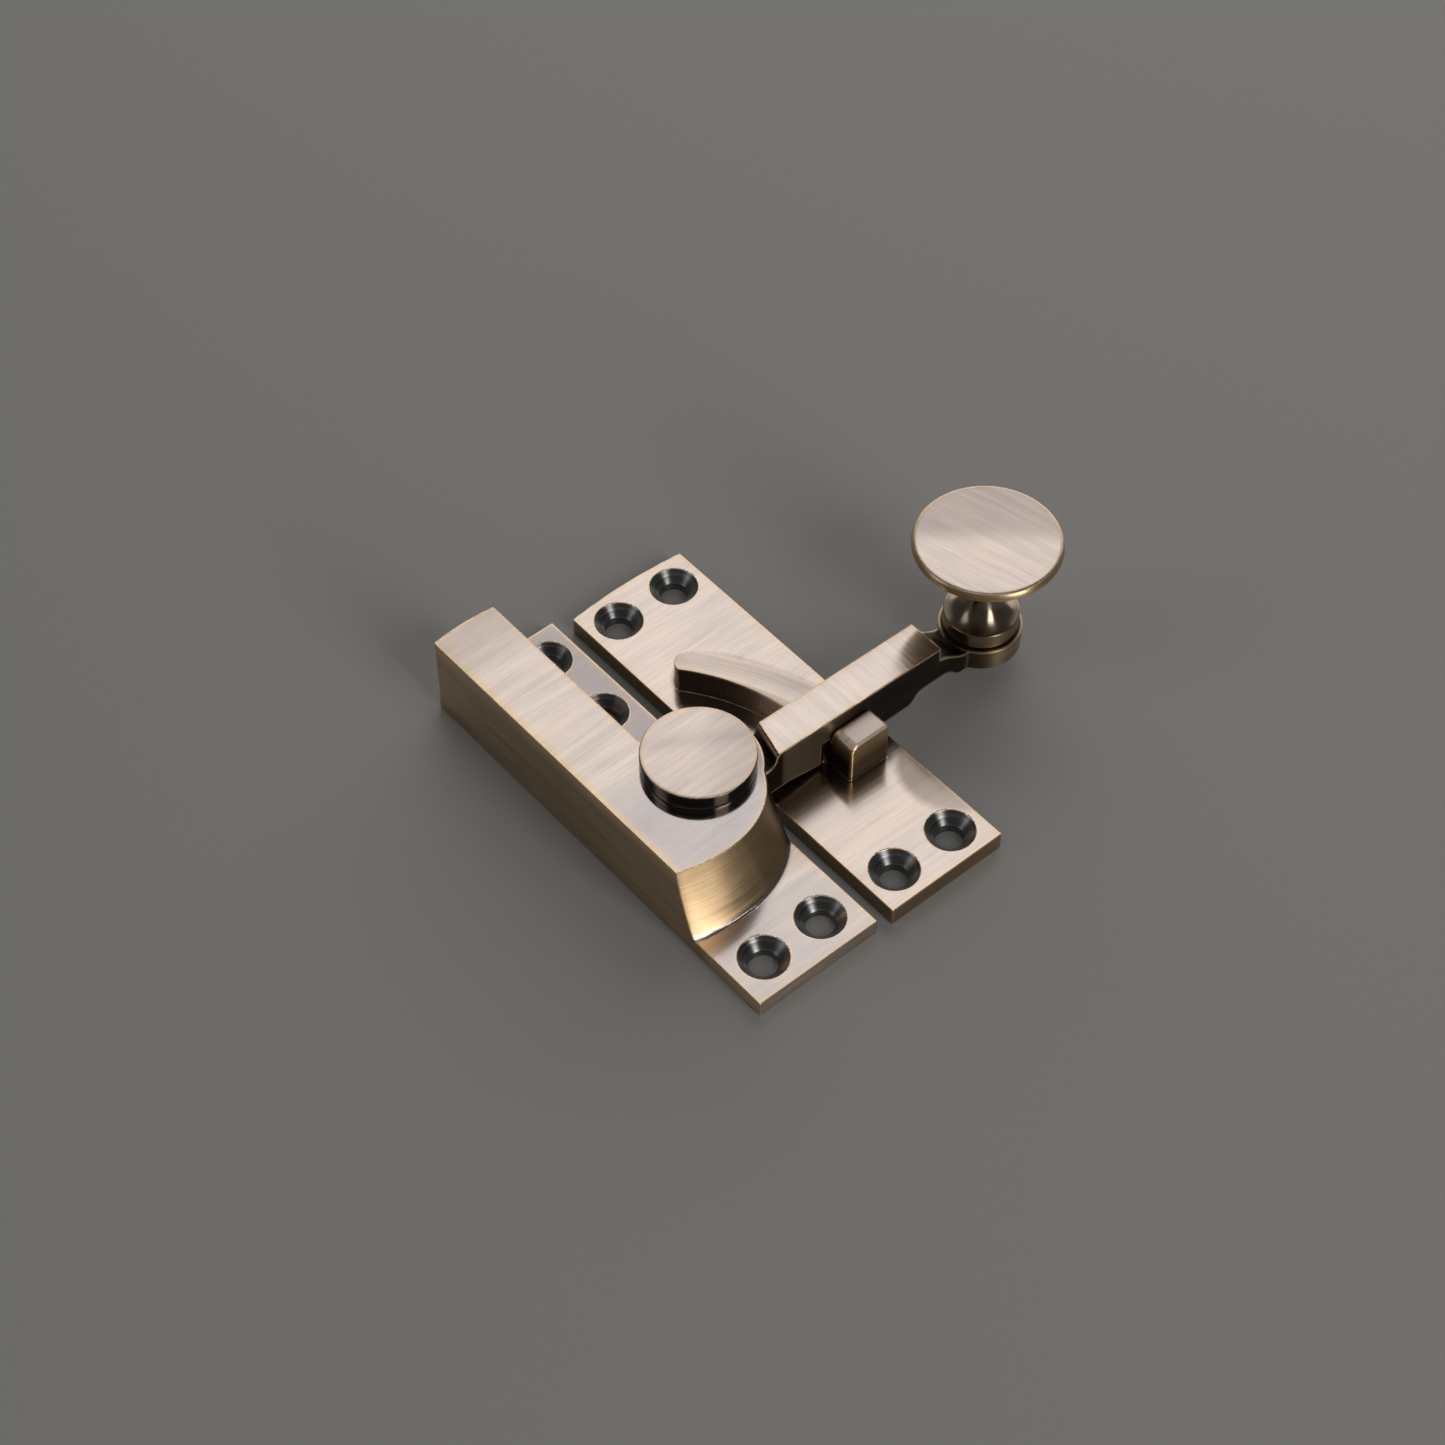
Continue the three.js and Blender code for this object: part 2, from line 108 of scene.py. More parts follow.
# Keep casting
KEEP_T = 3.05
KEEP_MID_X = (KEEP_LO[0] + KEEP_HI[0]) / 2
KEEP_SCREWS = tuple((19.3 + 5.25 * a, 5.0 + 29.9 * b) for a in (-1, 1) for b in (-1, 1))
RIDGE_TOP_Z = 7.75
# Circles of the ridge's plan: x, y and radius
RIDGE_INNER = (-11.8, -1.0, 31.2)
RIDGE_OUTER = (-20.1, -8.0, 50.2)
RIDGE_TIP = (16.7, 18.1, 4.65)
RIDGE_WIDTH = 8.2
STOP = ((19.8, -9.5), (26.9, -5.3))
STOP_TOP_Z = KEEP_HI[2]
# Circle round the nook between the stop block and the plate's outer edge, where the block's reflection is
# painted in darker brown
NOOK = (33.2, -16.8, 8.8)

# Lever
ARM_Y0, ARM_Y1 = -5.0, 1.2
ARM_MID_Y = (ARM_Y0 + ARM_Y1) / 2
ARM_TOP_INNER_Z = 12.46
ARM_TOP_OUTER_Z = 11.81
SHOULDER_X = 11.1
SHOULDER_SLANT = 0.26
BAR_END_X = 40.8
EYE = (51.8, ARM_MID_Y)
EYE_R = 6.1
EYE_Z0, EYE_Z1 = 3.05, 6.9
EYE_SEAT_R = 4.22
EYE_SEAT_DEPTH = 0.62
BOSS_Z = 3.5
HUB_R = 6.0
HUB_BACK_R = 7.0
HUB_FLAT = 5.5
HUB_MID_Z = 7.45
HUB_HALF_T = 2.55

# Knob and pivot cap
KNOB_R = (KNOB_HI[0] - KNOB_LO[0]) / 2
KNOB_STROKES = math.radians(-77)
CAP_R = box_mm("pivot_pin")[1][0]


# -------------------- distance fields

def cap(a, b, r):
    """What lies inside both a and b, with the edge between them rounded to radius r."""
    outside = np.hypot(np.maximum(a + r, 0.0), np.maximum(b + r, 0.0))
    return np.minimum(np.maximum(a, b), -r) + outside


def join(a, b, r):
    """What lies inside a or b, with a fillet of radius r between them."""
    inside = np.hypot(np.maximum(r - a, 0.0), np.maximum(r - b, 0.0))
    return np.maximum(np.minimum(a, b), r) - inside


def cut(a, b, r):
    return cap(a, -b, r)


def rectangle(x, y, lo, hi, r=0.0):
    """Distance to a rectangle in plan, with corners of radius r."""
    qx = np.abs(x - (lo[0] + hi[0]) / 2) - (hi[0] - lo[0]) / 2 + r
    qy = np.abs(y - (lo[1] + hi[1]) / 2) - (hi[1] - lo[1]) / 2 + r
    return np.hypot(np.maximum(qx, 0), np.maximum(qy, 0)) + np.minimum(np.maximum(qx, qy), 0) - r


def circle(x, y, centre, r):
    return np.hypot(x - centre[0], y - centre[1]) - r


def arc(centre, r, start, end, steps):
    """Points on an arc, from one angle to another, in radians."""
    angles = np.linspace(start, end, steps + 1)
    return [(centre[0] + r * math.cos(a), centre[1] + r * math.sin(a)) for a in angles]


def bezier(points, steps):
    """Points on a cubic Bezier curve."""
    p0, p1, p2, p3 = (np.array(p, float) for p in points)
    t = np.linspace(0, 1, steps + 1)[:, None]
    s = 1 - t
    return [tuple(p) for p in s ** 3 * p0 + 3 * s * s * t * p1 + 3 * s * t * t * p2 + t ** 3 * p3]


def rounded(corners, steps=6):
    """An outline from (x, y, radius) corners, each rounded by an arc that is tangent to both its sides."""
    points = []
    count = len(corners)
    for i, (x, y, r) in enumerate(corners):
        here = np.array((x, y), float)
        if r <= 0:
            points.append(tuple(here))
            continue
        before = np.array(corners[i - 1][:2], float) - here
        after = np.array(corners[(i + 1) % count][:2], float) - here
        u, v = before / np.linalg.norm(before), after / np.linalg.norm(after)
        half = math.acos(max(-1.0, min(1.0, float(u @ v)))) / 2
        reach = r / math.tan(half)
        middle = (u + v) / np.linalg.norm(u + v)
        centre = here + middle * (r / math.sin(half))
        start = here + u * reach - centre
        turn = math.pi - 2 * half
        end = here + v * reach - centre
        sign = math.copysign(1.0, start[0] * end[1] - start[1] * end[0])
        for k in range(steps + 1):
            a = sign * turn * k / steps
            c, s = math.cos(a), math.sin(a)
            points.append((centre[0] + start[0] * c - start[1] * s,
                           centre[1] + start[0] * s + start[1] * c))
    return points


class Outline:
    """Signed distance to a closed outline in a plane, negative inside. It is worked out once on a fine
    grid over the area from lo to hi, and read back smoothly from there."""

    STEP = 0.12

    def __init__(self, points, lo, hi):
        self.lo = np.array(lo, float) - 3 * self.STEP
        shape = np.ceil((np.array(hi) - self.lo) / self.STEP).astype(int) + 4
        gx = (self.lo[0] + np.arange(shape[0]) * self.STEP)[:, None]
        gy = (self.lo[1] + np.arange(shape[1]) * self.STEP)[None, :]
        nearest = np.full(shape, 1e9)
        inside = np.zeros(shape, bool)
        ends = np.array(points, float)
        for a, b in zip(ends, np.roll(ends, -1, axis=0)):
            d = b - a
            length2 = d @ d
            if length2 < 1e-12:
                continue
            t = np.clip(((gx - a[0]) * d[0] + (gy - a[1]) * d[1]) / length2, 0, 1)
            nearest = np.minimum(nearest, (gx - a[0] - t * d[0]) ** 2 + (gy - a[1] - t * d[1]) ** 2)
            crosses = (a[1] > gy) != (b[1] > gy)
            if d[1] != 0:
                inside ^= crosses & (gx < a[0] + (gy - a[1]) * d[0] / d[1])
        distance = np.sqrt(nearest)
        self.grid = np.where(inside, -distance, distance)

    def __call__(self, x, y):
        u = np.clip((x - self.lo[0]) / self.STEP, 1, self.grid.shape[0] - 3.001)
        v = np.clip((y - self.lo[1]) / self.STEP, 1, self.grid.shape[1] - 3.001)
        i, j = u.astype(int), v.astype(int)
        wu, wv = self._weights(u - i), self._weights(v - j)
        total = 0.0
        for a in range(4):
            for b in range(4):
                total = total + wu[a] * wv[b] * self.grid[i + a - 1, j + b - 1]
        return total

    @staticmethod
    def _weights(t):
        """Catmull-Rom weights of the four grid points round a place."""
        return (
            ((-0.5 * t + 1.0) * t - 0.5) * t,
            (1.5 * t - 2.5) * t * t + 1.0,
            ((-1.5 * t + 2.0) * t + 0.5) * t,
            (0.5 * t - 0.5) * t * t,
        )


def gradient(field, p, h=0.01):
    """Slope of a field at each point, by central differences."""
    slope = np.empty_like(p)
    for axis in range(3):
        shift = np.zeros(3)
        shift[axis] = h
        slope[:, axis] = (field(*(p + shift).T) - field(*(p - shift).T)) / (2 * h)
    return slope


def unit(v):
    return v / np.maximum(np.linalg.norm(v, axis=1, keepdims=True), 1e-9)


def smooth(x, a, b):
    """0 below a, 1 above b, with a soft step between."""
    t = np.clip((x - a) / (b - a), 0, 1)
    return t * t * (3 - 2 * t)


def between(value, low, high, margin=0.0):
    return (value > low - margin) & (value < high + margin)


def cross_points(field, lo, cell, start, axis, rising):
    """Where the surface crosses the grid edges that begin at start, found by halving each edge."""
    halvings = 9
    near, far = np.zeros(len(start)), np.ones(len(start))
    for _ in range(halvings):
        middle = (near + far) / 2
        points = start.astype(float)
        points[:, axis] += middle
        points = lo + cell * points
        before = (field(*points.T) < 0) == rising
        near = np.where(before, middle, near)
        far = np.where(before, far, middle)
    return points


def crossed_edges(values, axis):
    """First grid point of each grid edge along an axis that the surface crosses, and whether the value
    rises along it."""
    low, high = [slice(1, -1)] * 3, [slice(1, -1)] * 3
    low[axis], high[axis] = slice(0, -1), slice(1, None)
    first, second = values[tuple(low)], values[tuple(high)]
    found = np.argwhere((first < 0) != (second < 0))
    rising = first[tuple(found.T)] < 0
    start = found + 1
    start[:, axis] -= 1
    return start, rising


def split_quads(field, points, quads):
    """Two triangles for each quad, split along the diagonal that lies closer to the surface, so that an
    edge stays an edge."""
    one = np.abs(field(*((points[quads[:, 0]] + points[quads[:, 2]]) / 2).T))
    other = np.abs(field(*((points[quads[:, 1]] + points[quads[:, 3]]) / 2).T))
    turned = np.where((one <= other)[:, None], quads, np.roll(quads, -1, axis=1))
    return np.concatenate([turned[:, [0, 1, 2]], turned[:, [0, 2, 3]]])


def skin(field, lo, hi, cell):
    """Vertices and triangles of a field's zero surface, one vertex in each cell that it crosses.
    Each vertex is where the tangent planes of its cell's crossings meet, which keeps edges straight."""
    # How strongly a vertex is held to the middle of its crossings, and how far it may leave its cell
    pull, slack = 0.04, 0.1
    lo = np.array(lo, float) - 1.5 * cell
    shape = np.ceil((np.array(hi) + 1.5 * cell - lo) / cell).astype(int) + 1
    axes = [lo[k] + np.arange(shape[k]) * cell for k in range(3)]
    values = field(axes[0][:, None, None], axes[1][None, :, None], axes[2][None, None, :])
    values = np.where(np.abs(values) < 1e-9, 1e-9, values)
    solid = values < 0
    span = shape - 1
    index = np.full(span, -1, np.int64)
    filled = np.zeros(span, np.int8)
    for a, b, c in np.ndindex(2, 2, 2):
        filled += solid[a:a + span[0], b:b + span[1], c:c + span[2]]
    cells = np.argwhere((filled > 0) & (filled < 8))
    count = len(cells)
    index[tuple(cells.T)] = np.arange(count)
    system, right = np.zeros((count, 3, 3)), np.zeros((count, 3))
    middle, hits = np.zeros((count, 3)), np.zeros(count)
    quads = []
    for axis in range(3):
        start, rising = crossed_edges(values, axis)
        points = cross_points(field, lo, cell, start, axis, rising)
        normals = unit(gradient(field, points))
        b, c = (axis + 1) % 3, (axis + 2) % 3
        around = []
        for db, dc in ((-1, -1), (0, -1), (0, 0), (-1, 0)):
            at = start.copy()
            at[:, b] += db
            at[:, c] += dc
            owner = index[tuple(at.T)]
            around.append(owner)
            np.add.at(system, owner, normals[:, :, None] * normals[:, None, :])
            np.add.at(right, owner, normals * (normals * points).sum(1, keepdims=True))
            np.add.at(middle, owner, points)
            np.add.at(hits, owner, 1.0)
        quad = np.stack(around, 1)
        quad[~rising] = quad[~rising][:, ::-1]
        quads.append(quad)
    middle /= hits[:, None]
    system += pull * np.eye(3)
    right += pull * middle
    best = np.linalg.solve(system, right[:, :, None])[:, :, 0]
    corner = lo + cell * cells
    best = np.clip(best, corner - slack * cell, corner + (1 + slack) * cell)
    return best, split_quads(field, best, np.concatenate(quads))


# -------------------- meshes

def curving(field, p, reach):
    """How the surface bends within reach millimetres: 1 on a right-angled edge, 0 where flat, and -1 in a
    right-angled inner corner."""
    total = 0.0
    for axis in range(3):
        shift = np.zeros(3)
        shift[axis] = reach
        total = total + field(*(p + shift).T) + field(*(p - shift).T)
    return total / (2 * reach)


def corner_normals(field, points, faces, normals):
    """Normals at each corner of each face. Along a sharp edge each face keeps its own, and elsewhere a
    corner takes its vertex's."""
    edge_reach, least_bend, sharp_cosine = 0.12, 0.05, 0.985
    corners = normals[faces]
    near_edge = (np.abs(curving(field, points, edge_reach)) > least_bend)[faces].any(1)
    spots = points[faces[near_edge]]
    middle = spots.mean(1, keepdims=True)
    inside = (0.6 * spots + 0.4 * middle).reshape(-1, 3)
    own = unit(gradient(field, inside, 0.02)).reshape(spots.shape)
    shared = corners[near_edge]
    turned = (own * shared).sum(2, keepdims=True) < sharp_cosine
    corners[near_edge] = np.where(turned, own, shared)
    return corners


def mesh_object(name, points, faces, normals, values):
    """A smooth mesh object in metres, with normals for each face corner and one attribute for each of
    values."""
    data = bpy.data.meshes.new(name)
    data.vertices.add(len(points))
    data.vertices.foreach_set("co", (points * MM).astype(np.float32).ravel())
    faces = np.asarray(faces)
    data.loops.add(faces.size)
    data.loops.foreach_set("vertex_index", faces.astype(np.int32).ravel())
    data.polygons.add(len(faces))
    data.polygons.foreach_set("loop_start", np.arange(0, faces.size, faces.shape[1], dtype=np.int32))
    data.update(calc_edges=True)
    data.polygons.foreach_set("use_smooth", np.ones(len(faces), bool))
    data.normals_split_custom_set(normals.astype(np.float32).reshape(-1, 3))
    for key, value in values.items():
        kind, item = ("FLOAT_VECTOR", "vector") if value.ndim == 2 else ("FLOAT", "value")
        attribute = data.attributes.new(key, kind, "POINT")
        attribute.data.foreach_set(item, value.astype(np.float32).ravel())
    piece = bpy.data.objects.new(name, data)
    bpy.context.scene.collection.objects.link(piece)
    return piece


def add_piece(name, points, faces, field, finish, material, node, body):
    """Makes a piece from its surface, gives it its finish and puts it in its CAD node's place."""
    wear_reach, fade_reach, recess_reach = 0.45, 1.3, 1.0
    normals = unit(gradient(field, points, 0.05))
    values = finish(points, normals)
    # How sharp the edges are, for their rubbing and a painted highlight along them
    values["wear"] = np.clip(curving(field, points, wear_reach), 0, 1)
    values["fade"] = np.clip(curving(field, points, fade_reach), 0, 1)
    # How deep the hollows are, for browning kept there and painted shade
    values["recess"] = np.clip(-curving(field, points, recess_reach), 0, 1)
    piece = mesh_object(name, points, faces, corner_normals(field, points, faces, normals), values)
    piece.data.materials.append(material)
    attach(piece, body)
    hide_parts(node)
    return piece


def stepped(profile, step):
    """The same profile with extra points, so that no part of it is longer than a step."""
    points = [np.array(profile[0], float)]
    for end in profile[1:]:
        start = points[-1]
        count = max(1, math.ceil(math.dist(start, end) / step))
        points += [start + (np.array(end, float) - start) * k / count for k in range(1, count + 1)]
    return np.array(points)


def turned_piece(name, profile, centre, finish, material, node, body, segments=160):
    """A piece turned about a vertical axis, from (radius, z) points anticlockwise round its half section.
    A profile that starts and ends on the axis is solid, and any other is a ring."""
    longest, margin = 0.45, 6.0
    profile = stepped(profile, longest)
    solid = profile[0, 0] < 1e-6
    outline = [tuple(p) for p in profile]
    if solid:
        outline += [(-r, z) for r, z in outline[::-1]]
    lo = (-margin, profile[:, 1].min() - margin)
    hi = (profile[:, 0].max() + margin, profile[:, 1].max() + margin)
    section = Outline(outline, lo, hi)

    def field(x, y, z):
        return section(np.hypot(x - centre[0], y - centre[1]), z)

    rings = profile[1:-1] if solid else profile
    angles = np.linspace(0, 2 * math.pi, segments, endpoint=False)
    points = np.empty((len(rings), segments, 3))
    points[..., 0] = centre[0] + rings[:, :1] * np.cos(angles)
    points[..., 1] = centre[1] + rings[:, :1] * np.sin(angles)
    points[..., 2] = rings[:, 1:]
    points = points.reshape(-1, 3)
    here = np.arange(segments)
    after = (here + 1) % segments
    faces = []
    for ring in range(len(rings) - 1 if solid else len(rings)):
        low = ring * segments
        high = (ring + 1) % len(rings) * segments
        faces.append(np.stack([low + here, low + after, high + after], 1))
        faces.append(np.stack([low + here, high + after, high + here], 1))
    if solid:
        foot, last = len(points), (len(rings) - 1) * segments
        faces.append(np.stack([np.full(segments, foot), after, here], 1))
        faces.append(np.stack([np.full(segments, foot + 1), last + here, last + after], 1))
        points = np.concatenate([points, [(*centre, profile[0, 1]), (*centre, profile[-1, 1])]])
    return add_piece(name, points, np.concatenate(faces), field, finish, material, node, body)


# -------------------- finish of each surface

def grain(along, across, layer):
    """Coordinates of the brushing, in millimetres: along the strokes, across them, and which surface."""
    return np.stack([along, across, layer], 1)


def finish_values(brush, stroke, gold=0.0, dark=0.0, polish=0.0, hole=-9.0):
    """The attributes that a material reads: brushing, its direction, how yellow the metal is, how browned
    it is and where shade and reflections are painted darker, how glossy, and how far inside a screw hole."""
    count = len(brush)
    values = {"brush": brush, "stroke": stroke}
    for key, value in (("gold", gold), ("dark", dark), ("polish", polish), ("hole", hole)):
        values[key] = np.clip(np.broadcast_to(value, count), -9.0, 9.0)
    return values


def ring_grain(p, centre, across):
    """Lathe marks round a vertical axis, and their direction."""
    x, y = p[:, 0] - centre[0], p[:, 1] - centre[1]
    rho = np.maximum(np.hypot(x, y), 1e-6)
    around = np.stack([-y / rho, x / rho, np.zeros(len(p))], 1)
    return grain(x, across, 50 + 0.09 * y), around


def plate_brush(p, n):
    """Strokes along X on what faces up or along Y, and along Y on what faces sideways."""
    sideways = np.abs(n[:, 0]) > 0.75
    upright = np.abs(n[:, 2]) < 0.7
    along = np.where(sideways, p[:, 1], p[:, 0])
    across = np.where(sideways, p[:, 2], np.where(upright, p[:, 2], p[:, 1]))
    layer = np.where(sideways, 40 + p[:, 0], np.where(upright, 80.0, 0.0))
    tangent = np.where(sideways[:, None], (0.0, 1.0, 0.0), (1.0, 0.0, 0.0))
    return grain(along, across, layer), tangent


def drill(p, n, screws, brush, stroke):
    """Turns the brushing into machining rings inside the screw holes. Also gives how far inside a hole's
    rim each point is."""
    distance = np.array([np.hypot(p[:, 0] - x, p[:, 1] - y) for x, y in screws])
    nearest = distance.argmin(0)
    rho = distance.min(0)
    centre = np.array(screws)[nearest]
    rings, around = ring_grain(p, centre.T, rho * 1.5 + p[:, 2])
    inside = (rho < SCREW_RIM_R - 0.05)[:, None]
    depth = np.where(n[:, 2] < -0.5, -9.0, SCREW_RIM_R - rho)
    return np.where(inside, rings, brush), np.where(inside, around, stroke), depth


# -------------------- body casting

def countersink(x, y, z, screws, top):
    """The screw holes: a bore with a 90 degree cone at its mouth."""
    holes = None
    for centre in screws:
        rho = np.hypot(x - centre[0], y - centre[1])
        cone = (rho - SCREW_RIM_R - np.minimum(z - top, 0.3)) / math.sqrt(2)
        hole = np.minimum(rho - SCREW_BORE_R, cone)
        holes = hole if holes is None else np.minimum(holes, hole)
    return holes


def deck_outline():
    """Plan of the housing and the deck: curved front, round nose, and a long way past the far end."""
    far = 30.0
    front = bezier(DECK_FRONT, 48)
    end_angle = math.atan2(front[-1][1], front[-1][0])
    back_angle = math.acos(HOUSING_X1 / DECK_R)
    lead = (DECK_FRONT[0][0] - DECK_FRONT[1][0], DECK_FRONT[0][1] - DECK_FRONT[1][1])
    plan = [(front[0][0] + lead[0], front[0][1] + lead[1])] + front
    plan += arc(PIVOT, DECK_R, end_angle, back_angle, 64)
    left, back = BODY_LO[0] - far, BODY_HI[1] + far
    return plan + [(HOUSING_X1, back), (left, back), (left, plan[0][1])]


def body_cavities(x, y, z):
    """What is cut out of the body from inside and below, one shape after another."""
    chamber = circle(x, y, PIVOT, CHAMBER_R)
    mouth = np.maximum(-x, ARM_Y0 - 0.4 - y)
    parked = np.maximum(-y, HOUSING_X1 - x)
    room = np.minimum(np.minimum(chamber, mouth), parked)
    hollow = rectangle(x, y, HOLLOW[0], HOLLOW[1], 0.8)
    return (
        np.maximum(room, np.maximum(CHAMBER_FLOOR_Z - z, z - DECK_UNDER_Z)),
        cap(hollow, z - HOLLOW_TOP_Z, 0.5),
        countersink(x, y, z, BODY_SCREWS, BASE_T),
        circle(x, y, PIVOT, PIN_HOLE_R),
        np.maximum(circle(x, y, PIVOT, PIVOT_SEAT_R), z - PIVOT_SEAT_Z),
    )


def body_field():
    deck = Outline(deck_outline(), BODY_LO[:2] - 6, BODY_HI[:2] + 6)
    heights, reaches = (np.array(c) for c in zip(*COVE))
    housing_mid_x = (BODY_LO[0] + HOUSING_X1) / 2
    end_zone = BODY_HI[1] - END_ZONE
    beyond = (PLATE_X1 + 9, BODY_HI[1] + 9)

    def field(x, y, z):
        # The boss flares out only in front of the pivot, down to the plate
        flare = np.interp(z, heights, reaches) * smooth(-y, 2.0, 5.4)
        raised = deck(x, y) - flare
        block = rectangle(x, y, BODY_LO[:2], (PLATE_X1, BODY_HI[1]), CRISP)
        housing = rectangle(x, y, (BODY_LO[0], 0.0), (HOUSING_X1, BODY_HI[1]), END_CORNER_R)
        bow = circle(x, y, (housing_mid_x, BODY_HI[1] - HOUSING_END_R), HOUSING_END_R)
        housing = np.where(y > end_zone, np.maximum(housing, bow), -9.0)
        raised = np.maximum(raised, housing)
        # Below the housing's far end the plate is bowed too, with the same corner
        corner = rectangle(x, y, (BODY_LO[0], 0.0), beyond, END_CORNER_R)
        bowed = np.maximum(block, np.maximum(bow, corner))
        block = np.where((y > end_zone) & (x < HOUSING_X1), bowed, block)
        fillet = 0.25 + 0.35 * smooth(-x, 9.0, 13.0)
        upper = join(z - BASE_T, raised, fillet)
        solid = cap(upper, block, CRISP)
        nose = cap(circle(x, y, PIVOT, DECK_R), DECK_UNDER_Z - z, CRISP)
        solid = np.minimum(solid, nose)
        solid = cap(solid, z - DECK_Z, CRISP)
        solid = cap(solid, -z, CRISP)
        for cavity in body_cavities(x, y, z):
            solid = cut(solid, cavity, CRISP)
        return solid

    return field


def body_finish(p, n):
    """How the body is brushed, where it is browned, yellow and glossy, and where shade and reflections are
    painted darker.
    """
    brush, stroke = plate_brush(p, n)
    brush, stroke, hole = drill(p, n, BODY_SCREWS, brush, stroke)
    x, y, z = p.T
    inside = between(z, 0.5, DECK_UNDER_Z + 0.1) & (np.hypot(x, y) < CHAMBER_R + 0.2)
    hollow = between(x, HOLLOW[0][0], HOLLOW[1][0], 0.2) & between(y, HOLLOW[0][1], HOLLOW[1][1], 0.2)
    inside |= hollow & between(z, 0.3, HOLLOW_TOP_Z + 0.1)
    up = smooth(n[:, 2], 0.8, 0.98)
    top = up * smooth(z, DECK_Z - 1, DECK_Z - 0.5)
    outer_side = smooth(-n[:, 0], 0.6, 0.85)
    inner_side = smooth(n[:, 0], 0.6, 0.85)
    far_end = smooth(n[:, 1], 0.6, 0.85)
    boss = smooth(-n[:, 1], 0.25, 0.6) * smooth(z, BASE_T + 0.1, BASE_T + 0.8)
    ledge = smooth(y, 8.0, 10.0) * smooth(x, HOUSING_X1, HOUSING_X1 + 0.5) * smooth(n[:, 2], 0.7, 0.95)
    deck = smooth(-y, -12.0, -1.0) * top
    side_dark = 0.42 - 0.42 * smooth(z, 10.8, DECK_Z) - 0.3 * smooth(-y, 17.0, 20.0)
    dark = side_dark * outer_side + 0.85 * inner_side + 0.3 * far_end + 0.3 * ledge
    # Painted shade: the boss darker towards +X, by the lever
    dark = dark + boss * 0.4 * smooth(x, -6.0, 3.0)
    # Painted shade and reflection: the housing's top darker towards its far end, and the deck's nose
    # beside the lever darker, standing for the lever's shadow and reflection
    dark = dark + top * (0.27 * smooth(y, 29.0, 39.0) + 0.5 * smooth(x, 3.0, 7.0))
    dark = np.maximum(dark, np.maximum(0.9 * smooth(-n[:, 2], 0.3, 0.6), inside))
    front = smooth(-y, 15.0, 18.0) * up
    gold = np.maximum(0.85 * boss, 0.75 * outer_side + 0.6 * far_end)
    gold = np.maximum(gold, 0.65 * top * smooth(-x, 12.7, 14.4))
    polish = np.maximum(deck, 0.35 * top) + ledge + 0.85 * front - boss - 0.5 * outer_side
    return finish_values(brush, stroke, gold, dark, polish, hole)


# -------------------- keep casting

def ridge_outline():
    """Plan of the quadrant ridge: outer arc, rounded entry tip, inner arc, and back under the lever."""
    foot_y = (STOP[0][1] + STOP[1][1]) / 2
    tip_inner_y, tip_outer_y = 19.0, 20.9

    def flank(ring, *ends_y):
        start, end = (math.asin((y - ring[1]) / ring[2]) for y in ends_y)
        return arc(ring[:2], ring[2], start, end, 40)

    def tip_angle(ring, y):
        x = ring[0] + math.sqrt(ring[2] ** 2 - (y - ring[1]) ** 2)
        return math.atan2(y - RIDGE_TIP[1], x - RIDGE_TIP[0])

    start, end = tip_angle(RIDGE_OUTER, tip_outer_y), tip_angle(RIDGE_INNER, tip_inner_y)
    tip = arc(RIDGE_TIP[:2], RIDGE_TIP[2], start, end, 24)
    return flank(RIDGE_OUTER, foot_y, tip_outer_y) + tip + flank(RIDGE_INNER, tip_inner_y, foot_y)


def keep_field():
    ridge_plan = Outline(ridge_outline(), KEEP_LO[:2] - 4, KEEP_HI[:2] + 4)
    lead_slope = 0.75

    def field(x, y, z):
        inwards = np.clip(-circle(x, y, RIDGE_OUTER[:2], RIDGE_OUTER[2]) / RIDGE_WIDTH, 0, 1)
        height = (RIDGE_TOP_Z - KEEP_T) * (1 - (1 - inwards) ** 1.35)
        top = (z - KEEP_T - height) * 0.85
        # Under the lever the ridge is as wide as the stop block that it runs into
        plan = ridge_plan(x, y)
        narrowed = np.maximum(plan, rectangle(x, y, STOP[0], (STOP[1][0], 0.0)))
        plan = np.where(y < ARM_Y0 + 0.6, narrowed, plan)
        ridge = cap(plan, top, CRISP)
        stop = rectangle(x, y, STOP[0], STOP[1], 0.35)
        lead = (STOP[0][0] - x) * lead_slope + (z - STOP_TOP_Z) + 0.55
        lead = lead / math.hypot(lead_slope, 1.0)
        stop = cap(cap(stop, z - STOP_TOP_Z, 0.5), lead, 0.5)
        raised = np.minimum(ridge, stop)
        upper = join(z - KEEP_T, raised, CRISP)
        block = rectangle(x, y, KEEP_LO[:2], KEEP_HI[:2], CRISP)
        block = np.maximum(block, circle(x, y, (KEEP_MID_X, KEEP_HI[1] - KEEP_END_R), KEEP_END_R))
        solid = cap(upper, block, CRISP)
        solid = cap(solid, -z, CRISP)
        return cut(solid, countersink(x, y, z, KEEP_SCREWS, KEEP_T), CRISP)

    return field


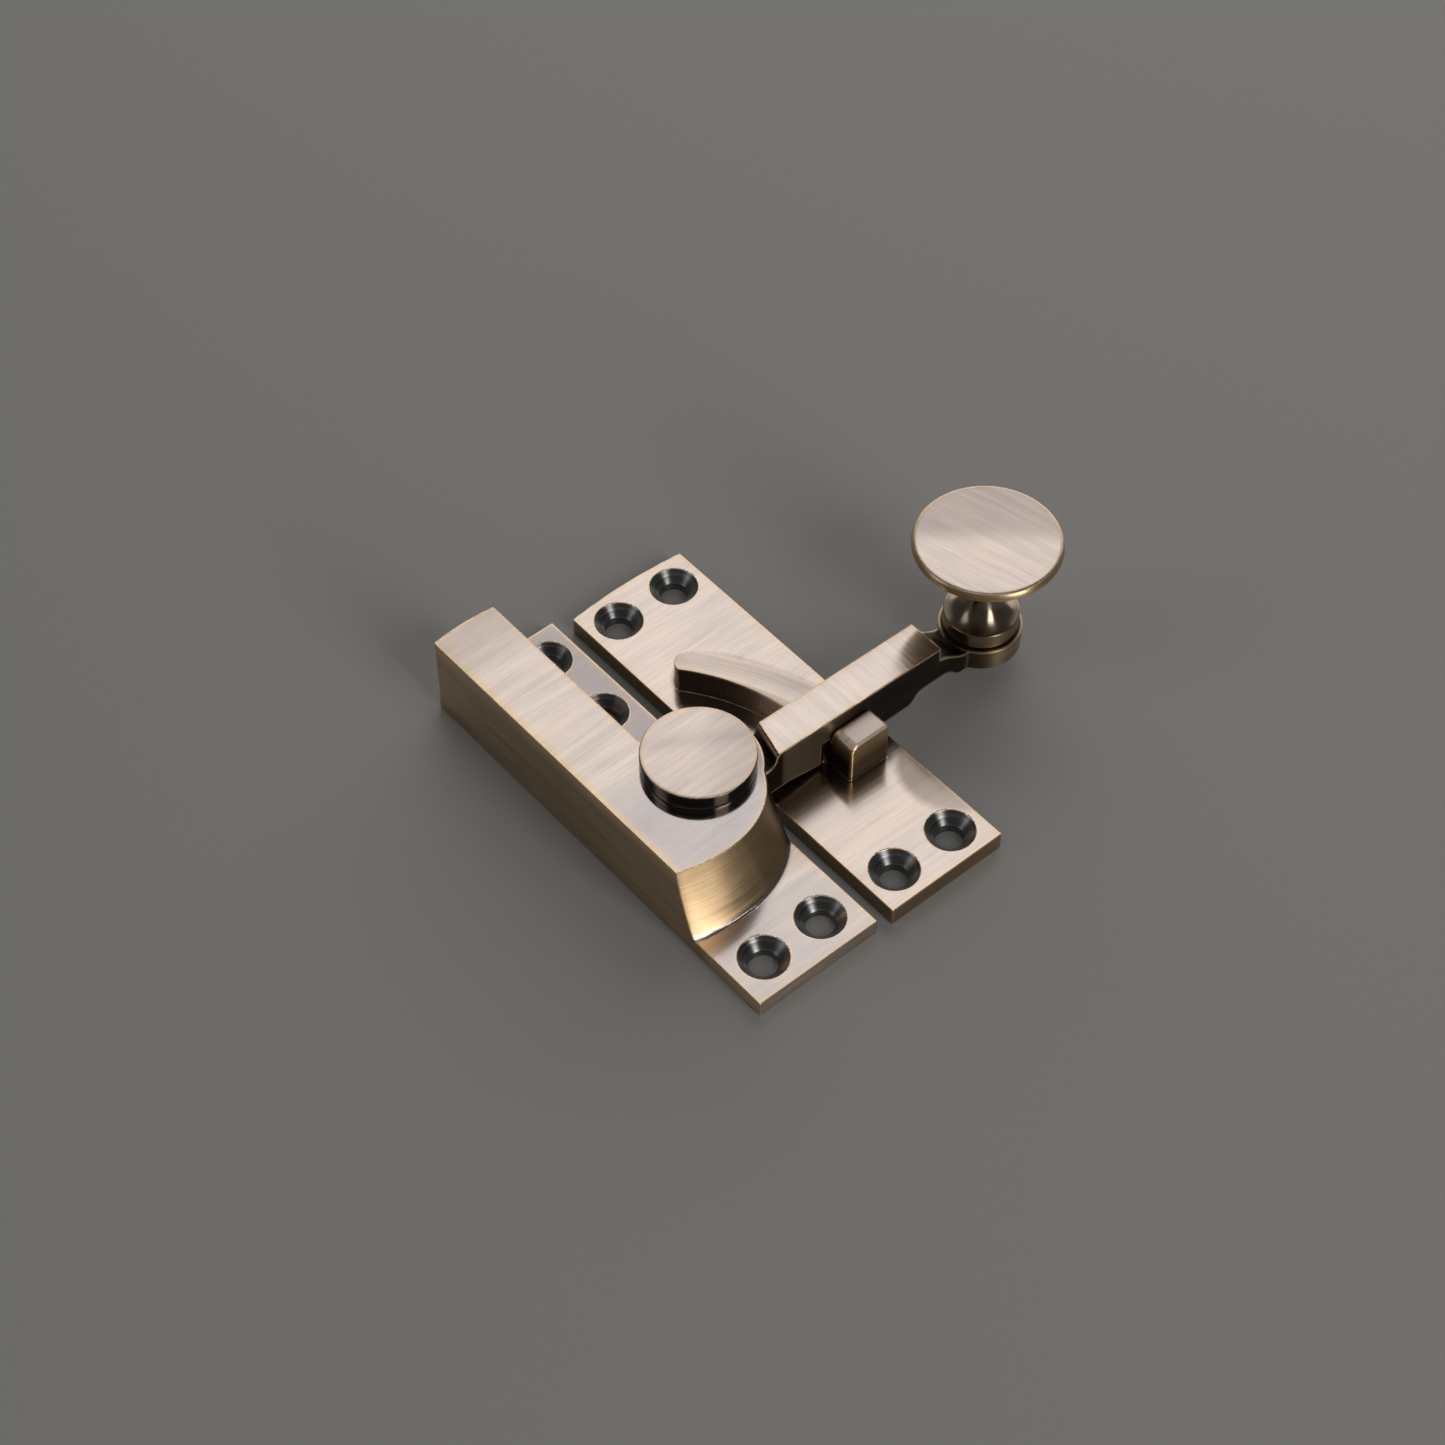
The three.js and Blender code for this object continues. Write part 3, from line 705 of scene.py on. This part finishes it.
def keep_finish(p, n):
    brush, stroke = plate_brush(p, n)
    x, y, z = p.T
    # The ridge's sloping top is brushed along its curve
    on_ridge = ((z > KEEP_T + 0.25) & (n[:, 2] > 0.6) & (y > STOP[1][1]))[:, None]
    rho = np.hypot(x - RIDGE_OUTER[0], y - RIDGE_OUTER[1])
    angle = np.arctan2(y - RIDGE_OUTER[1], x - RIDGE_OUTER[0])
    along = np.stack([-np.sin(angle), np.cos(angle), np.zeros(len(p))], 1)
    brush = np.where(on_ridge, grain(angle * RIDGE_OUTER[2], rho, np.full(len(p), 120.0)), brush)
    stroke = np.where(on_ridge, along, stroke)
    brush, stroke, hole = drill(p, n, KEEP_SCREWS, brush, stroke)
    upright = smooth(0.75 - np.abs(n[:, 2]), 0.0, 0.3)
    face = smooth(n[:, 2], 0.8, 0.98) * (z < KEEP_T + 0.1)
    block = (rectangle(x, y, STOP[0], STOP[1]) < 0.6) & (z > KEEP_T + 0.3)
    inner_wall = upright * (z > KEEP_T + 0.2) * ~block
    dark = np.maximum((0.5 + 0.25 * (n[:, 0] < 0)) * upright, 0.9 * smooth(-n[:, 2], 0.3, 0.6))
    dark = np.maximum(dark, 0.95 * inner_wall)
    low = smooth(STOP_TOP_Z - z, 1.0, 4.5)
    dark = np.where(block, (0.08 + 0.65 * low + 0.35 * smooth(-n[:, 0], 0.3, 0.8)) * upright, dark)
    # Painted reflection: darker brown in the nook, on the plate close in front of the lever and round the
    # foot of the block, standing for the reflections of the block and lever
    nook_reflection = smooth(-circle(x, y, NOOK[:2], NOOK[2]), -0.7, 1.3) * face
    dark = np.maximum(dark, (0.62 - 0.25 * smooth(-y, 14.0, 22.0)) * nook_reflection)
    front = smooth(y, -12.5, -9.0) * smooth(-y, -1.0, 2.0)
    foot = smooth(2.0 - rectangle(x, y, STOP[0], STOP[1]), 0.0, 2.0)
    dark = np.maximum(dark, np.maximum(0.55 * front, 0.7 * foot) * face)
    gold = np.where(block, 0.95, 0.8) * upright
    polish = np.where(on_ridge[:, 0] | block, -0.6, 0.5)
    return finish_values(brush, stroke, gold, dark, polish, hole)


# -------------------- lever

def lever_outline():
    """Side view of the lever without its eye, as x and z, anticlockwise from the hub's underside."""
    under = rounded((
        (-3.0, 4.9, 0), (12.5, 4.9, 2.0), (17.6, 3.9, 0.6), (18.3, 3.9, 0.3), (18.3, 8.15, 0.3),
        (22.4, 8.15, 0.6), (30.2, BOSS_Z, 1.2), (35.4, BOSS_Z, 1.2), (36.9, 5.3, 1.0), (41.8, 5.3, 0),
        (41.8, 20.0, 0), (-3.0, 20.0, 0),
    ))[:-3]
    neck_under = bezier(((41.8, 5.3), (43.6, 5.2), (43.8, EYE_Z0), (46.0, EYE_Z0)), 12)
    neck_top = bezier(((46.4, EYE_Z1 - 0.15), (44.6, EYE_Z1 - 0.2), (43.2, 8.9), (BAR_END_X, 9.2)), 12)
    eye = [(EYE[0], EYE_Z0), (EYE[0], EYE_Z1 - 0.15)]
    return under + neck_under + eye + neck_top + [(BAR_END_X, 16.0), (-3.0, 16.0)]


def ogee_outline():
    """Side view of what is taken off the bar's top above the hub, up to its ogee shoulder."""
    lower = bezier(((8.9, 9.98), (9.5, 10.0), (10.35, 10.3), (10.55, 11.2)), 10)
    upper = bezier(((10.55, 11.2), (10.6, 11.7), (10.75, 11.9), (SHOULDER_X, 12.0)), 6)
    return [(0.0, 9.98), (8.9, 9.98)] + lower + upper + [(SHOULDER_X, 20.0), (0.0, 20.0)]


def lever_field():
    side = Outline(lever_outline(), (ARM_LO[0] - 4, ARM_LO[2] - 5), (ARM_HI[0] + 4, ARM_HI[2] + 6))
    ogee = Outline(ogee_outline(), (-8, 0), (24, 22))
    fall = (ARM_TOP_INNER_Z - ARM_TOP_OUTER_Z) / (BAR_END_X - SHOULDER_X)

    def field(x, y, z):
        width = np.abs(y - ARM_MID_Y) - (ARM_Y1 - ARM_Y0) / 2
        across = (y - ARM_MID_Y) / (ARM_Y1 - ARM_Y0) * 2
        top = z - (ARM_TOP_INNER_Z - fall * (x - SHOULDER_X)) + 0.12 * across ** 2
        bar = cap(side(x, z), top, CRISP)
        shoulder_x = x - SHOULDER_SLANT * (y - ARM_MID_Y)
        bar = cut(bar, ogee(shoulder_x, z), CRISP)
        bar = cap(bar, width, CRISP)
        bar = cap(bar, -x, CRISP)
        rho = np.hypot(x, y)
        flats = np.maximum(-x - HUB_FLAT, y - HUB_FLAT)
        round_hub = np.where((x < 0) & (y > 0), rho - HUB_BACK_R, rho - HUB_R)
        hub = np.maximum(np.maximum(round_hub, flats), np.abs(z - HUB_MID_Z) - HUB_HALF_T)
        eye_slab = np.abs(z - (EYE_Z0 + EYE_Z1) / 2) - (EYE_Z1 - EYE_Z0) / 2
        eye = cap(circle(x, y, EYE, EYE_R), eye_slab, CRISP)
        solid = np.minimum(join(bar, eye, 0.3), hub)
        solid = cut(solid, rho - PIVOT_BORE_R, CRISP)
        spigot = circle(x, y, EYE, SPIGOT_BORE_R)
        seat = np.maximum(circle(x, y, EYE, EYE_SEAT_R), z - EYE_Z0 - EYE_SEAT_DEPTH)
        return cut(solid, np.minimum(spigot, seat), CRISP)

    return field


def lever_finish(p, n):
    x, y, z = p.T
    up = np.abs(n[:, 2]) > 0.7
    side = np.abs(n[:, 1]) > 0.7
    along = np.where(up, y, np.where(side, x, y))
    across = np.where(up, x, z)
    layer = np.where(up, 0.0, np.where(side, 40.0, 80.0))
    stroke = np.where((side & ~up)[:, None], (1.0, 0.0, 0.0), (0.0, 1.0, 0.0))
    brush = grain(along, across, layer)
    eye = smooth(x, 45.5, 46.5)
    rings, around = ring_grain(p, EYE, z + np.hypot(x - EYE[0], y - EYE[1]))
    on_eye = (eye > 0.5)[:, None]
    brush, stroke = np.where(on_eye, rings, brush), np.where(on_eye, around, stroke)
    top = smooth(n[:, 2], 0.6, 0.85) * smooth(z, 10.9, 11.4)
    browned = 0.68 + 0.32 * np.maximum(smooth(x, 17.0, 29.0), smooth(-x, -11.6, -10.6))
    dark = (1 - eye) * browned * (1 - top)
    # Painted shade: the eye is darker on top, under the knob, and towards the bar, and lighter round its
    # free end
    shade = np.maximum(0.95 * smooth(n[:, 2], 0.5, 0.8), 0.9 - 0.5 * smooth(x, 46.0, 54.0))
    dark = dark + eye * shade
    gold = (0.55 + 0.25 * eye) * (1 - top)
    return finish_values(brush, stroke, gold, dark, 0.5 * top - 0.8 * (1 - top))


# -------------------- turned pieces

def knob_profile():
    """Radius and z from the spigot's foot, over the flange, waist and disc, to the middle of the top."""
    flange_z = 7.24
    spigot = rounded((
        (0.0, 3.55, 0), (2.3, 3.55, 0.2), (2.3, flange_z, 0.05), (5.55, flange_z, 0.2),
        (5.55, 9.7, 0.12), (4.9, 9.9, 0), (0.0, 12.0, 0),
    ), 5)[:-2]
    waist = bezier(((5.2, 9.8), (3.6, 10.3), (1.95, 11.6), (1.75, 15.2)), 22)
    under = bezier(((1.75, 15.2), (1.65, 18.2), (2.9, 20.6), (6.0, 21.2)), 20)[1:]
    belly = bezier(((6.0, 21.2), (8.6, 21.7), (10.1, 22.3), (KNOB_R - 0.2, 22.95)), 14)[1:]
    rim = bezier(((KNOB_R - 0.2, 22.95), (KNOB_R, 23.15), (KNOB_R, 23.3), (KNOB_R, 23.45)), 6)[1:]
    edge = bezier(((KNOB_R, 23.45), (KNOB_R, 24.0), (KNOB_R - 0.25, 24.3), (KNOB_R - 0.7, 24.36)), 10)[1:]
    dome = bezier(((KNOB_R - 0.7, 24.36), (7.0, 24.5), (3.4, KNOB_HI[2]), (0.0, KNOB_HI[2])), 14)[1:]
    return spigot + waist + under + belly + rim + edge + dome


def pin_profile():
    """Radius and z from the middle of the shank's foot, over the cap, to the middle of its top."""
    gap, shank_r = 0.02, 3.0
    cap_z0 = DECK_Z + gap
    return rounded((
        (0.0, gap, 0), (shank_r, gap, 0.3), (shank_r, cap_z0, 0.05), (CAP_R, cap_z0, 0.15),
        (CAP_R, PIN_TOP_Z, 0.16), (0.0, PIN_TOP_Z, 0),
    ), 5)


def small_profile(inner, outer, z0, z1):
    """Half section of a washer with bevelled edges, or of a plain pin if inner is 0."""
    bevel = 0.12
    outside = ((outer, z0, bevel), (outer, z1, bevel))
    if inner == 0:
        return rounded(((0.0, z0, 0), *outside, (0.0, z1, 0)), 3)
    ring = rounded(((inner, z0, bevel), *outside, (inner, z1, bevel)), 3)
    return ring + ring[:1]


def knob_finish(p, n):
    x, y, z = p[:, 0] - EYE[0], p[:, 1] - EYE[1], p[:, 2]
    rho = np.hypot(x, y)
    top = smooth(n[:, 2], 0.72, 0.97) * smooth(z, 23.0, 23.6)
    c, s = math.cos(KNOB_STROKES), math.sin(KNOB_STROKES)
    flat = grain(x * c + y * s, y * c - x * s, np.zeros(len(p)))
    rings, around = ring_grain(p, EYE, z + rho)
    on_top = (top > 0.5)[:, None]
    stroke = np.where(on_top, (c, s, 0.0), around)
    rim = smooth(z, 21.2, 22.0) * (1 - top)
    flange = smooth(9.75 - z, 0, 0.1)
    waist = smooth(22.0 - z, 0, 0.8) * (1 - flange)
    # Painted shade: the knob's top darker over its half towards +X and +Y
    beyond = top * smooth(0.65 * x + 0.76 * y, -2.0, 2.5)
    dark = 0.15 * rim + 0.66 * waist + 0.6 * flange + 0.3 * beyond
    gold = rim + 0.4 * waist + 0.8 * flange
    polish = 0.2 * top - 0.6 * rim + 0.2 * waist - 0.3 * flange
    return finish_values(np.where(on_top, flat, rings), stroke, gold, dark, polish)


def pin_finish(p, n):
    x, y, z = p.T
    top = smooth(n[:, 2], 0.6, 0.95) * smooth(z, DECK_Z + 1, DECK_Z + 2)
    rings, around = ring_grain(p, PIVOT, z)
    # Painted shade: a darker band crosses the cap, and its right half is darker
    band = np.exp(-(((x + 1.6 * y) / 1.9 - 2.2) / 1.4) ** 2)
    on_top = (top > 0.5)[:, None]
    brush = np.where(on_top, grain(x, y, np.full(len(p), 7.0)), rings)
    stroke = np.where(on_top, (1.0, 0.0, 0.0), around)
    browned = 0.97 * (1 - top) + top * (0.2 * smooth(x - y, -2.0, 9.0) + 0.13 * band)
    return finish_values(brush, stroke, 0.0, browned, np.where(top > 0.5, 0.1, 0.4))


def small_finish(centre):
    def finish(p, n):
        rho = np.hypot(p[:, 0] - centre[0], p[:, 1] - centre[1])
        rings, around = ring_grain(p, centre, p[:, 2] + rho)
        return finish_values(rings, around, 0.3, 0.35)

    return finish


# -------------------- materials

class Nodes:
    """A short way to write a node tree."""

    def __init__(self, material):
        material.use_nodes = True
        self.tree = material.node_tree
        self.tree.nodes.clear()

    def add(self, kind, **settings):
        node = self.tree.nodes.new(kind)
        for key, value in settings.items():
            setattr(node, key, value)
        return node

    def link(self, source, target):
        self.tree.links.new(source, target)

    def attribute(self, name, output="Fac"):
        return self.add("ShaderNodeAttribute", attribute_name=name).outputs[output]

    def feed(self, sockets, values):
        """Sets each socket to a number or a colour, or links it to an output."""
        for socket, value in zip(sockets, values):
            if isinstance(value, (int, float)):
                socket.default_value = value
            elif isinstance(value, tuple):
                socket.default_value = (*value, 1.0)
            else:
                self.link(value, socket)

    def math(self, operation, a, b=0.0, clamp=False):
        node = self.add("ShaderNodeMath", operation=operation, use_clamp=clamp)
        self.feed(node.inputs, (a, b))
        return node.outputs[0]

    def mix(self, factor, a, b, blend="MIX"):
        node = self.add("ShaderNodeMix", data_type="RGBA", blend_type=blend)
        self.feed((node.inputs[0], node.inputs[6], node.inputs[7]), (factor, a, b))
        return node.outputs[2]

    def scaled(self, vector, scale):
        node = self.add("ShaderNodeMapping", vector_type="POINT")
        node.inputs["Scale"].default_value = scale
        self.link(vector, node.inputs["Vector"])
        return node.outputs[0]

    def noise(self, vector, scale, detail, roughness):
        node = self.add("ShaderNodeTexNoise")
        for key, number in zip(("Scale", "Detail", "Roughness"), (1.0, detail, roughness)):
            node.inputs[key].default_value = number
        self.link(self.scaled(vector, scale), node.inputs["Vector"])
        return node.outputs["Fac"]

    def range(self, value, low, high, to_low, to_high):
        node = self.add("ShaderNodeMapRange", clamp=True)
        self.link(value, node.inputs["Value"])
        for key, number in zip(("From Min", "From Max", "To Min", "To Max"), (low, high, to_low, to_high)):
            node.inputs[key].default_value = number
        return node.outputs["Result"]

    def bump(self, height):
        node = self.add("ShaderNodeBump")
        node.inputs["Strength"].default_value = 0.4
        node.inputs["Distance"].default_value = 0.02 * MM
        self.link(height, node.inputs["Height"])
        return node.outputs[0]

    def surface(self, linked, **constants):
        """A Principled shader as the material's surface: constants on its own sockets, and links."""
        shader = self.add("ShaderNodeBsdfPrincipled")
        for key, value in constants.items():
            shader.inputs[key.replace("_", " ").title()].default_value = value
        for key, source in linked.items():
            self.link(source, shader.inputs[key])
        output = self.add("ShaderNodeOutputMaterial")
        self.link(shader.outputs[0], output.inputs["Surface"])


GOLDEN_BRASS = (0.78, 0.55, 0.29)
POLISHED_BRASS = (0.46, 0.425, 0.43)
BRUSHED_ROUGHNESS = 0.2
RIM_BRASS = (0.80, 0.66, 0.46)
PIT_DIRT = (0.03, 0.025, 0.02)
OLD_OIL = (0.16, 0.10, 0.06)


class BrassMaps:
    """What the mesh and the brushing say at each point, as outputs of nodes. The scales of the noises are
    per millimetre along the strokes, across them, and from one surface to another."""

    def __init__(self, n):
        self.brush = n.attribute("brush", "Vector")
        # The strokes waver a little from side to side
        waver = n.noise(self.brush, (0.05, 0.08, 1.0), 1.0, 0.5)
        drift = n.add("ShaderNodeCombineXYZ")
        n.link(n.math("MULTIPLY", n.math("SUBTRACT", waver, 0.5), 1.6), drift.inputs[1])
        bent = n.add("ShaderNodeVectorMath", operation="ADD")
        n.link(self.brush, bent.inputs[0])
        n.link(drift.outputs[0], bent.inputs[1])
        self.bent = bent.outputs[0]
        self.fine = n.noise(self.bent, (0.08, 3.2, 1.0), 3.0, 0.7)
        self.broad = n.noise(self.bent, (0.045, 0.7, 1.0), 3.0, 0.6)
        self.patch = n.noise(self.brush, (0.10, 0.14, 1.0), 2.0, 0.5)
        for key in ("dark", "gold", "polish", "hole", "wear", "fade", "recess"):
            setattr(self, key, n.attribute(key))
        self.drilled = n.range(self.hole, 0.02, 0.12, 0.0, 1.0)
        self.matt = n.range(self.polish, 0.0, 1.0, 1.0, 0.3)


def brass_tone(n, maps):
    """How light the strokes and clouds make the metal, round 1."""
    streak = n.range(maps.fine, 0.3, 0.7, -0.19, 0.15)
    band = n.range(maps.broad, 0.3, 0.7, -0.13, 0.09)
    cloud = n.range(maps.patch, 0.3, 0.7, -0.06, 0.04)
    marks = n.math("MULTIPLY", n.math("ADD", streak, band), maps.matt)
    return n.math("ADD", n.math("ADD", marks, cloud), 1.0)


def brass_pits(n, maps):
    """Where casting pits are left open: a few small dots, on polished faces only."""
    pits = n.add("ShaderNodeTexVoronoi", voronoi_dimensions="2D")
    n.link(n.scaled(maps.brush, (0.45, 0.45, 1.0)), pits.inputs["Vector"])
    chosen = n.add("ShaderNodeSeparateColor")
    n.link(pits.outputs["Color"], chosen.inputs[0])
    dot = n.range(pits.outputs["Distance"], 0.04, 0.09, 1.0, 0.0)
    pit = n.math("MULTIPLY", dot, n.math("GREATER_THAN", chosen.outputs[0], 0.86))
    return n.math("MULTIPLY", pit, n.range(maps.polish, 0.7, 0.9, 0.0, 0.85))


def brass_colour(n, maps, light, bronze, rub):
    # Edges turn yellow: rubbed bright, and a painted highlight along them
    sharp = n.range(maps.wear, 0.25, 0.8, 0.0, 0.75)
    edge = n.math("MAXIMUM", sharp, n.range(maps.fade, 0.1, 0.9, 0.0, 0.3))
    edge = n.math("MULTIPLY", edge, n.range(maps.broad, 0.25, 0.75, 0.7, 1.15), True)
    stain = n.range(maps.patch, 0.45, 0.75, 0.0, 0.14)
    yellow = n.math("MAXIMUM", n.math("MAXIMUM", maps.gold, edge), stain)
    base = n.mix(n.range(maps.polish, 0.5, 1.0, 0.0, 0.8), light, POLISHED_BRASS)
    base = n.mix(yellow, base, GOLDEN_BRASS)
    # Browning, together with the shade and reflections painted darker through dark
    browned = n.math("ADD", maps.dark, n.range(maps.fine, 0.35, 0.75, -0.06, 0.06), True)
    browned = n.math("MULTIPLY", browned, n.range(maps.wear, 0.1, 0.9, 1.0, 1.0 - rub))
    # Hollows keep their browning, and are darkened further as painted shade
    browned = n.math("MAXIMUM", browned, n.range(maps.recess, 0.1, 0.8, 0.0, 0.35))
    base = n.mix(browned, base, bronze)
    base = n.mix(maps.drilled, base, n.range(maps.fine, 0.35, 0.65, 0.10, 0.30))
    base = n.mix(brass_pits(n, maps), base, PIT_DIRT)
    rim = n.math("ABSOLUTE", n.math("ADD", maps.hole, 0.04))
    base = n.mix(n.range(rim, 0.03, 0.13, 0.7, 0.0), base, RIM_BRASS)
    return n.mix(1.0, base, brass_tone(n, maps), "MULTIPLY")


def brass_roughness(n, maps):
    rough = n.range(maps.fine, 0.3, 0.7, BRUSHED_ROUGHNESS * 0.85, BRUSHED_ROUGHNESS * 1.2)
    rough = n.math("MULTIPLY", rough, n.range(maps.polish, -1.0, 1.0, 2.1, 0.45))
    return n.math("MAXIMUM", rough, n.math("MULTIPLY", maps.drilled, 0.36))


def antique_brass(name, light, bronze, rub):
    """Brushed brass that was browned and then rubbed bright. The mesh says where it is browned and where
    shade and reflections are painted darker (dark), where it is yellow (gold), how far its edges are
    rubbed, with a painted highlight along them (wear, fade), where hollows keep their browning and painted
    shade (recess), and how glossy it is (polish).
    Rub is how far the browning is rubbed off the sharpest edges."""
    material = bpy.data.materials.new(name)
    n = Nodes(material)
    maps = BrassMaps(n)
    ripple = n.noise(maps.bent, (0.06, 2.0, 1.0), 0.5, 0.5)
    turn = n.add("ShaderNodeVectorTransform", convert_from="OBJECT", convert_to="WORLD")
    n.link(n.attribute("stroke", "Vector"), turn.inputs[0])
    linked = {
        "Base Color": brass_colour(n, maps, light, bronze, rub),
        "Roughness": brass_roughness(n, maps),
        "Normal": n.bump(n.math("MULTIPLY", n.math("ADD", ripple, maps.broad), maps.matt)),
        "Tangent": turn.outputs[0],
    }
    n.surface(linked, metallic=1.0, anisotropic=0.8, anisotropic_rotation=0.25, coat_weight=0.12,
              coat_roughness=0.12)
    return material


def worn_steel(name, colour, marks_per_mm):
    """Steel with fine rolling marks, so many per millimetre along each axis, and stains of old oil."""
    material = bpy.data.materials.new(name)
    n = Nodes(material)
    place = n.add("ShaderNodeTexCoord").outputs["Object"]
    marks = n.noise(place, tuple(m / MM for m in marks_per_mm), 3.0, 0.65)
    stain = n.noise(place, (0.3 / MM, 0.3 / MM, 0.3 / MM), 3.0, 0.55)
    base = n.mix(n.range(marks, 0.3, 0.7, 0.0, 0.4), colour, tuple(0.55 * c for c in colour))
    linked = {
        "Base Color": n.mix(n.range(stain, 0.5, 0.75, 0.0, 0.6), base, OLD_OIL),
        "Roughness": n.range(stain, 0.35, 0.7, 0.26, 0.5),
        "Normal": n.bump(marks),
    }
    n.surface(linked, metallic=1.0)
    return material


# -------------------- studio

CAMERA_AZIMUTH = -40.47
CAMERA_ELEVATION = 50.39
CAMERA_DISTANCE = 437.9
CAMERA_TARGET = (14.74, 12.22, 0.0)
CAMERA_LENS = 75.8
FLOOR_COLOUR = (0.285, 0.281, 0.268, 1.0)
SHEET_WHITE = (1.0, 0.98, 0.95)


def direction(azimuth, elevation):
    """Unit vector towards a place seen from the object. Azimuth 0 is towards -Y; angles in degrees."""
    a, e = math.radians(azimuth), math.radians(elevation)
    return Vector((math.sin(a) * math.cos(e), -math.cos(a) * math.cos(e), math.sin(e)))


def add_camera():
    back = direction(CAMERA_AZIMUTH, CAMERA_ELEVATION)
    data = bpy.data.cameras.new("camera")
    data.sensor_width = 36.0
    data.lens = CAMERA_LENS
    data.clip_start = 0.01
    camera = bpy.data.objects.new("camera", data)
    camera.location = (Vector(CAMERA_TARGET) + back * CAMERA_DISTANCE) * MM
    camera.rotation_euler = (-back).to_track_quat("-Z", "Y").to_euler()
    bpy.context.scene.collection.objects.link(camera)
    bpy.context.scene.camera = camera


def add_floor():
    size = 6.0
    corners = [(-size, -size, 0), (size, -size, 0), (size, size, 0), (-size, size, 0)]
    data = bpy.data.meshes.new("floor")
    data.from_pydata(corners, [], [(0, 1, 2, 3)])
    floor = bpy.data.objects.new("floor", data)
    bpy.context.scene.collection.objects.link(floor)
    material = bpy.data.materials.new("floor")
    Nodes(material).surface({}, base_color=FLOOR_COLOUR, roughness=0.6)
    data.materials.append(material)


def add_light(name, azimuth, elevation, distance, size, radiance, colour):
    """A softbox that looks at the object from a direction. Its distance and size are in metres."""
    back = direction(azimuth, elevation)
    data = bpy.data.lights.new(name, "AREA")
    data.shape = "RECTANGLE"
    data.size, data.size_y = size
    data.energy = radiance * math.pi * size[0] * size[1]
    data.color = colour
    light = bpy.data.objects.new(name, data)
    light.location = Vector(CAMERA_TARGET) * MM + back * distance
    light.rotation_euler = back.to_track_quat("Z", "Y").to_euler()
    light.visible_camera = False
    bpy.context.scene.collection.objects.link(light)


def add_studio():
    add_floor()
    add_light("key_softbox", 134.0, 53.0, 1.2, (0.66, 0.56), 0.6, (1.0, 0.985, 0.99))
    add_light("back_panel", 134.0, 40.0, 1.6, (2.2, 1.4), 0.45, SHEET_WHITE)
    add_light("horizon_panel", 128.0, 12.0, 1.5, (2.2, 0.9), 1.25, SHEET_WHITE)
    add_light("front_strip", 2.0, 27.0, 1.2, (0.38, 1.0), 5.2, SHEET_WHITE)
    add_light("overhead_panel", -40.0, 80.0, 1.3, (0.9, 0.5), 0.5, (1.0, 0.98, 0.97))
    add_light("side_strip", -118.0, 40.0, 1.4, (0.4, 0.9), 1.2, (0.97, 0.98, 1.0))
    bpy.context.scene.view_settings.view_transform = "Standard"
    world = bpy.data.worlds.new("studio")
    world.use_nodes = True
    background = world.node_tree.nodes["Background"]
    background.inputs["Color"].default_value = (1.0, 0.99, 0.97, 1.0)
    background.inputs["Strength"].default_value = 0.08
    bpy.context.scene.world = world


# -------------------- the object

def field_piece(node, field, lo, hi, cell, finish, material, body):
    """A casting or the lever in its CAD node's place, skinned from its field."""
    points, faces = skin(field, lo, hi, cell)
    points = np.clip(points, lo, hi)
    add_piece(node + "_shell", points, faces, field, finish, material, node, body)


def small_piece(node, inner, material, body):
    """A washer or pin in its CAD node's place."""
    lo, hi = box_mm(node)
    centre = ((lo[0] + hi[0]) / 2, (lo[1] + hi[1]) / 2)
    profile = small_profile(inner, (hi[0] - lo[0]) / 2, lo[2], hi[2])
    turned_piece(node + "_turned", profile, centre, small_finish(centre), material, node, body, 96)


def add_small_pieces(brass):
    steel = worn_steel("steel", (0.56, 0.55, 0.53), (1.2, 1.2, 1.2))
    small_piece("upper_thrust_washer", PIVOT_BORE_R, steel, FIXED)
    small_piece("lower_thrust_washer", PIVOT_BORE_R, steel, FIXED)
    small_piece("pivot_washer", 3.02, steel, FIXED)
    small_piece("knob_washer", SPIGOT_BORE_R, brass, LEVER)
    small_piece("spring_fulcrum_pin", 0, steel, FIXED)
    small_piece("spring_anchor_pin", 0, steel, FIXED)
    # The leaf is rolled along its length, which is Y
    rolled = worn_steel("rolled_steel", (0.44, 0.44, 0.45), (6.0, 0.15, 6.0))
    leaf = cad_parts["leaf_spring"]
    leaf.data.materials.clear()
    leaf.data.materials.append(rolled)


def build():
    plates = antique_brass("plate_brass", (0.71, 0.61, 0.55), (0.072, 0.043, 0.026), 0.8)
    lever = antique_brass("lever_brass", (0.72, 0.62, 0.565), (0.022, 0.012, 0.007), 0.8)
    turned = antique_brass("turned_brass", (0.72, 0.615, 0.56), (0.025, 0.022, 0.018), 0.1)
    arm_top = (ARM_HI[0], ARM_HI[1], ARM_TOP_INNER_Z)
    field_piece("body_casting", body_field(), BODY_LO, BODY_HI, CASTING_CELL, body_finish, plates,
                FIXED)
    field_piece("keep_casting", keep_field(), KEEP_LO, KEEP_HI, CASTING_CELL, keep_finish, plates,
                FIXED)
    field_piece("lever_arm", lever_field(), ARM_LO, arm_top, LEVER_CELL, lever_finish, lever,
                LEVER)
    turned_piece("knob_turned", knob_profile(), EYE, knob_finish, turned, "knob", LEVER)
    turned_piece("pivot_pin_turned", pin_profile(), PIVOT, pin_finish, turned, "pivot_pin",
                 FIXED)
    add_small_pieces(turned)


build()
add_camera()
add_studio()
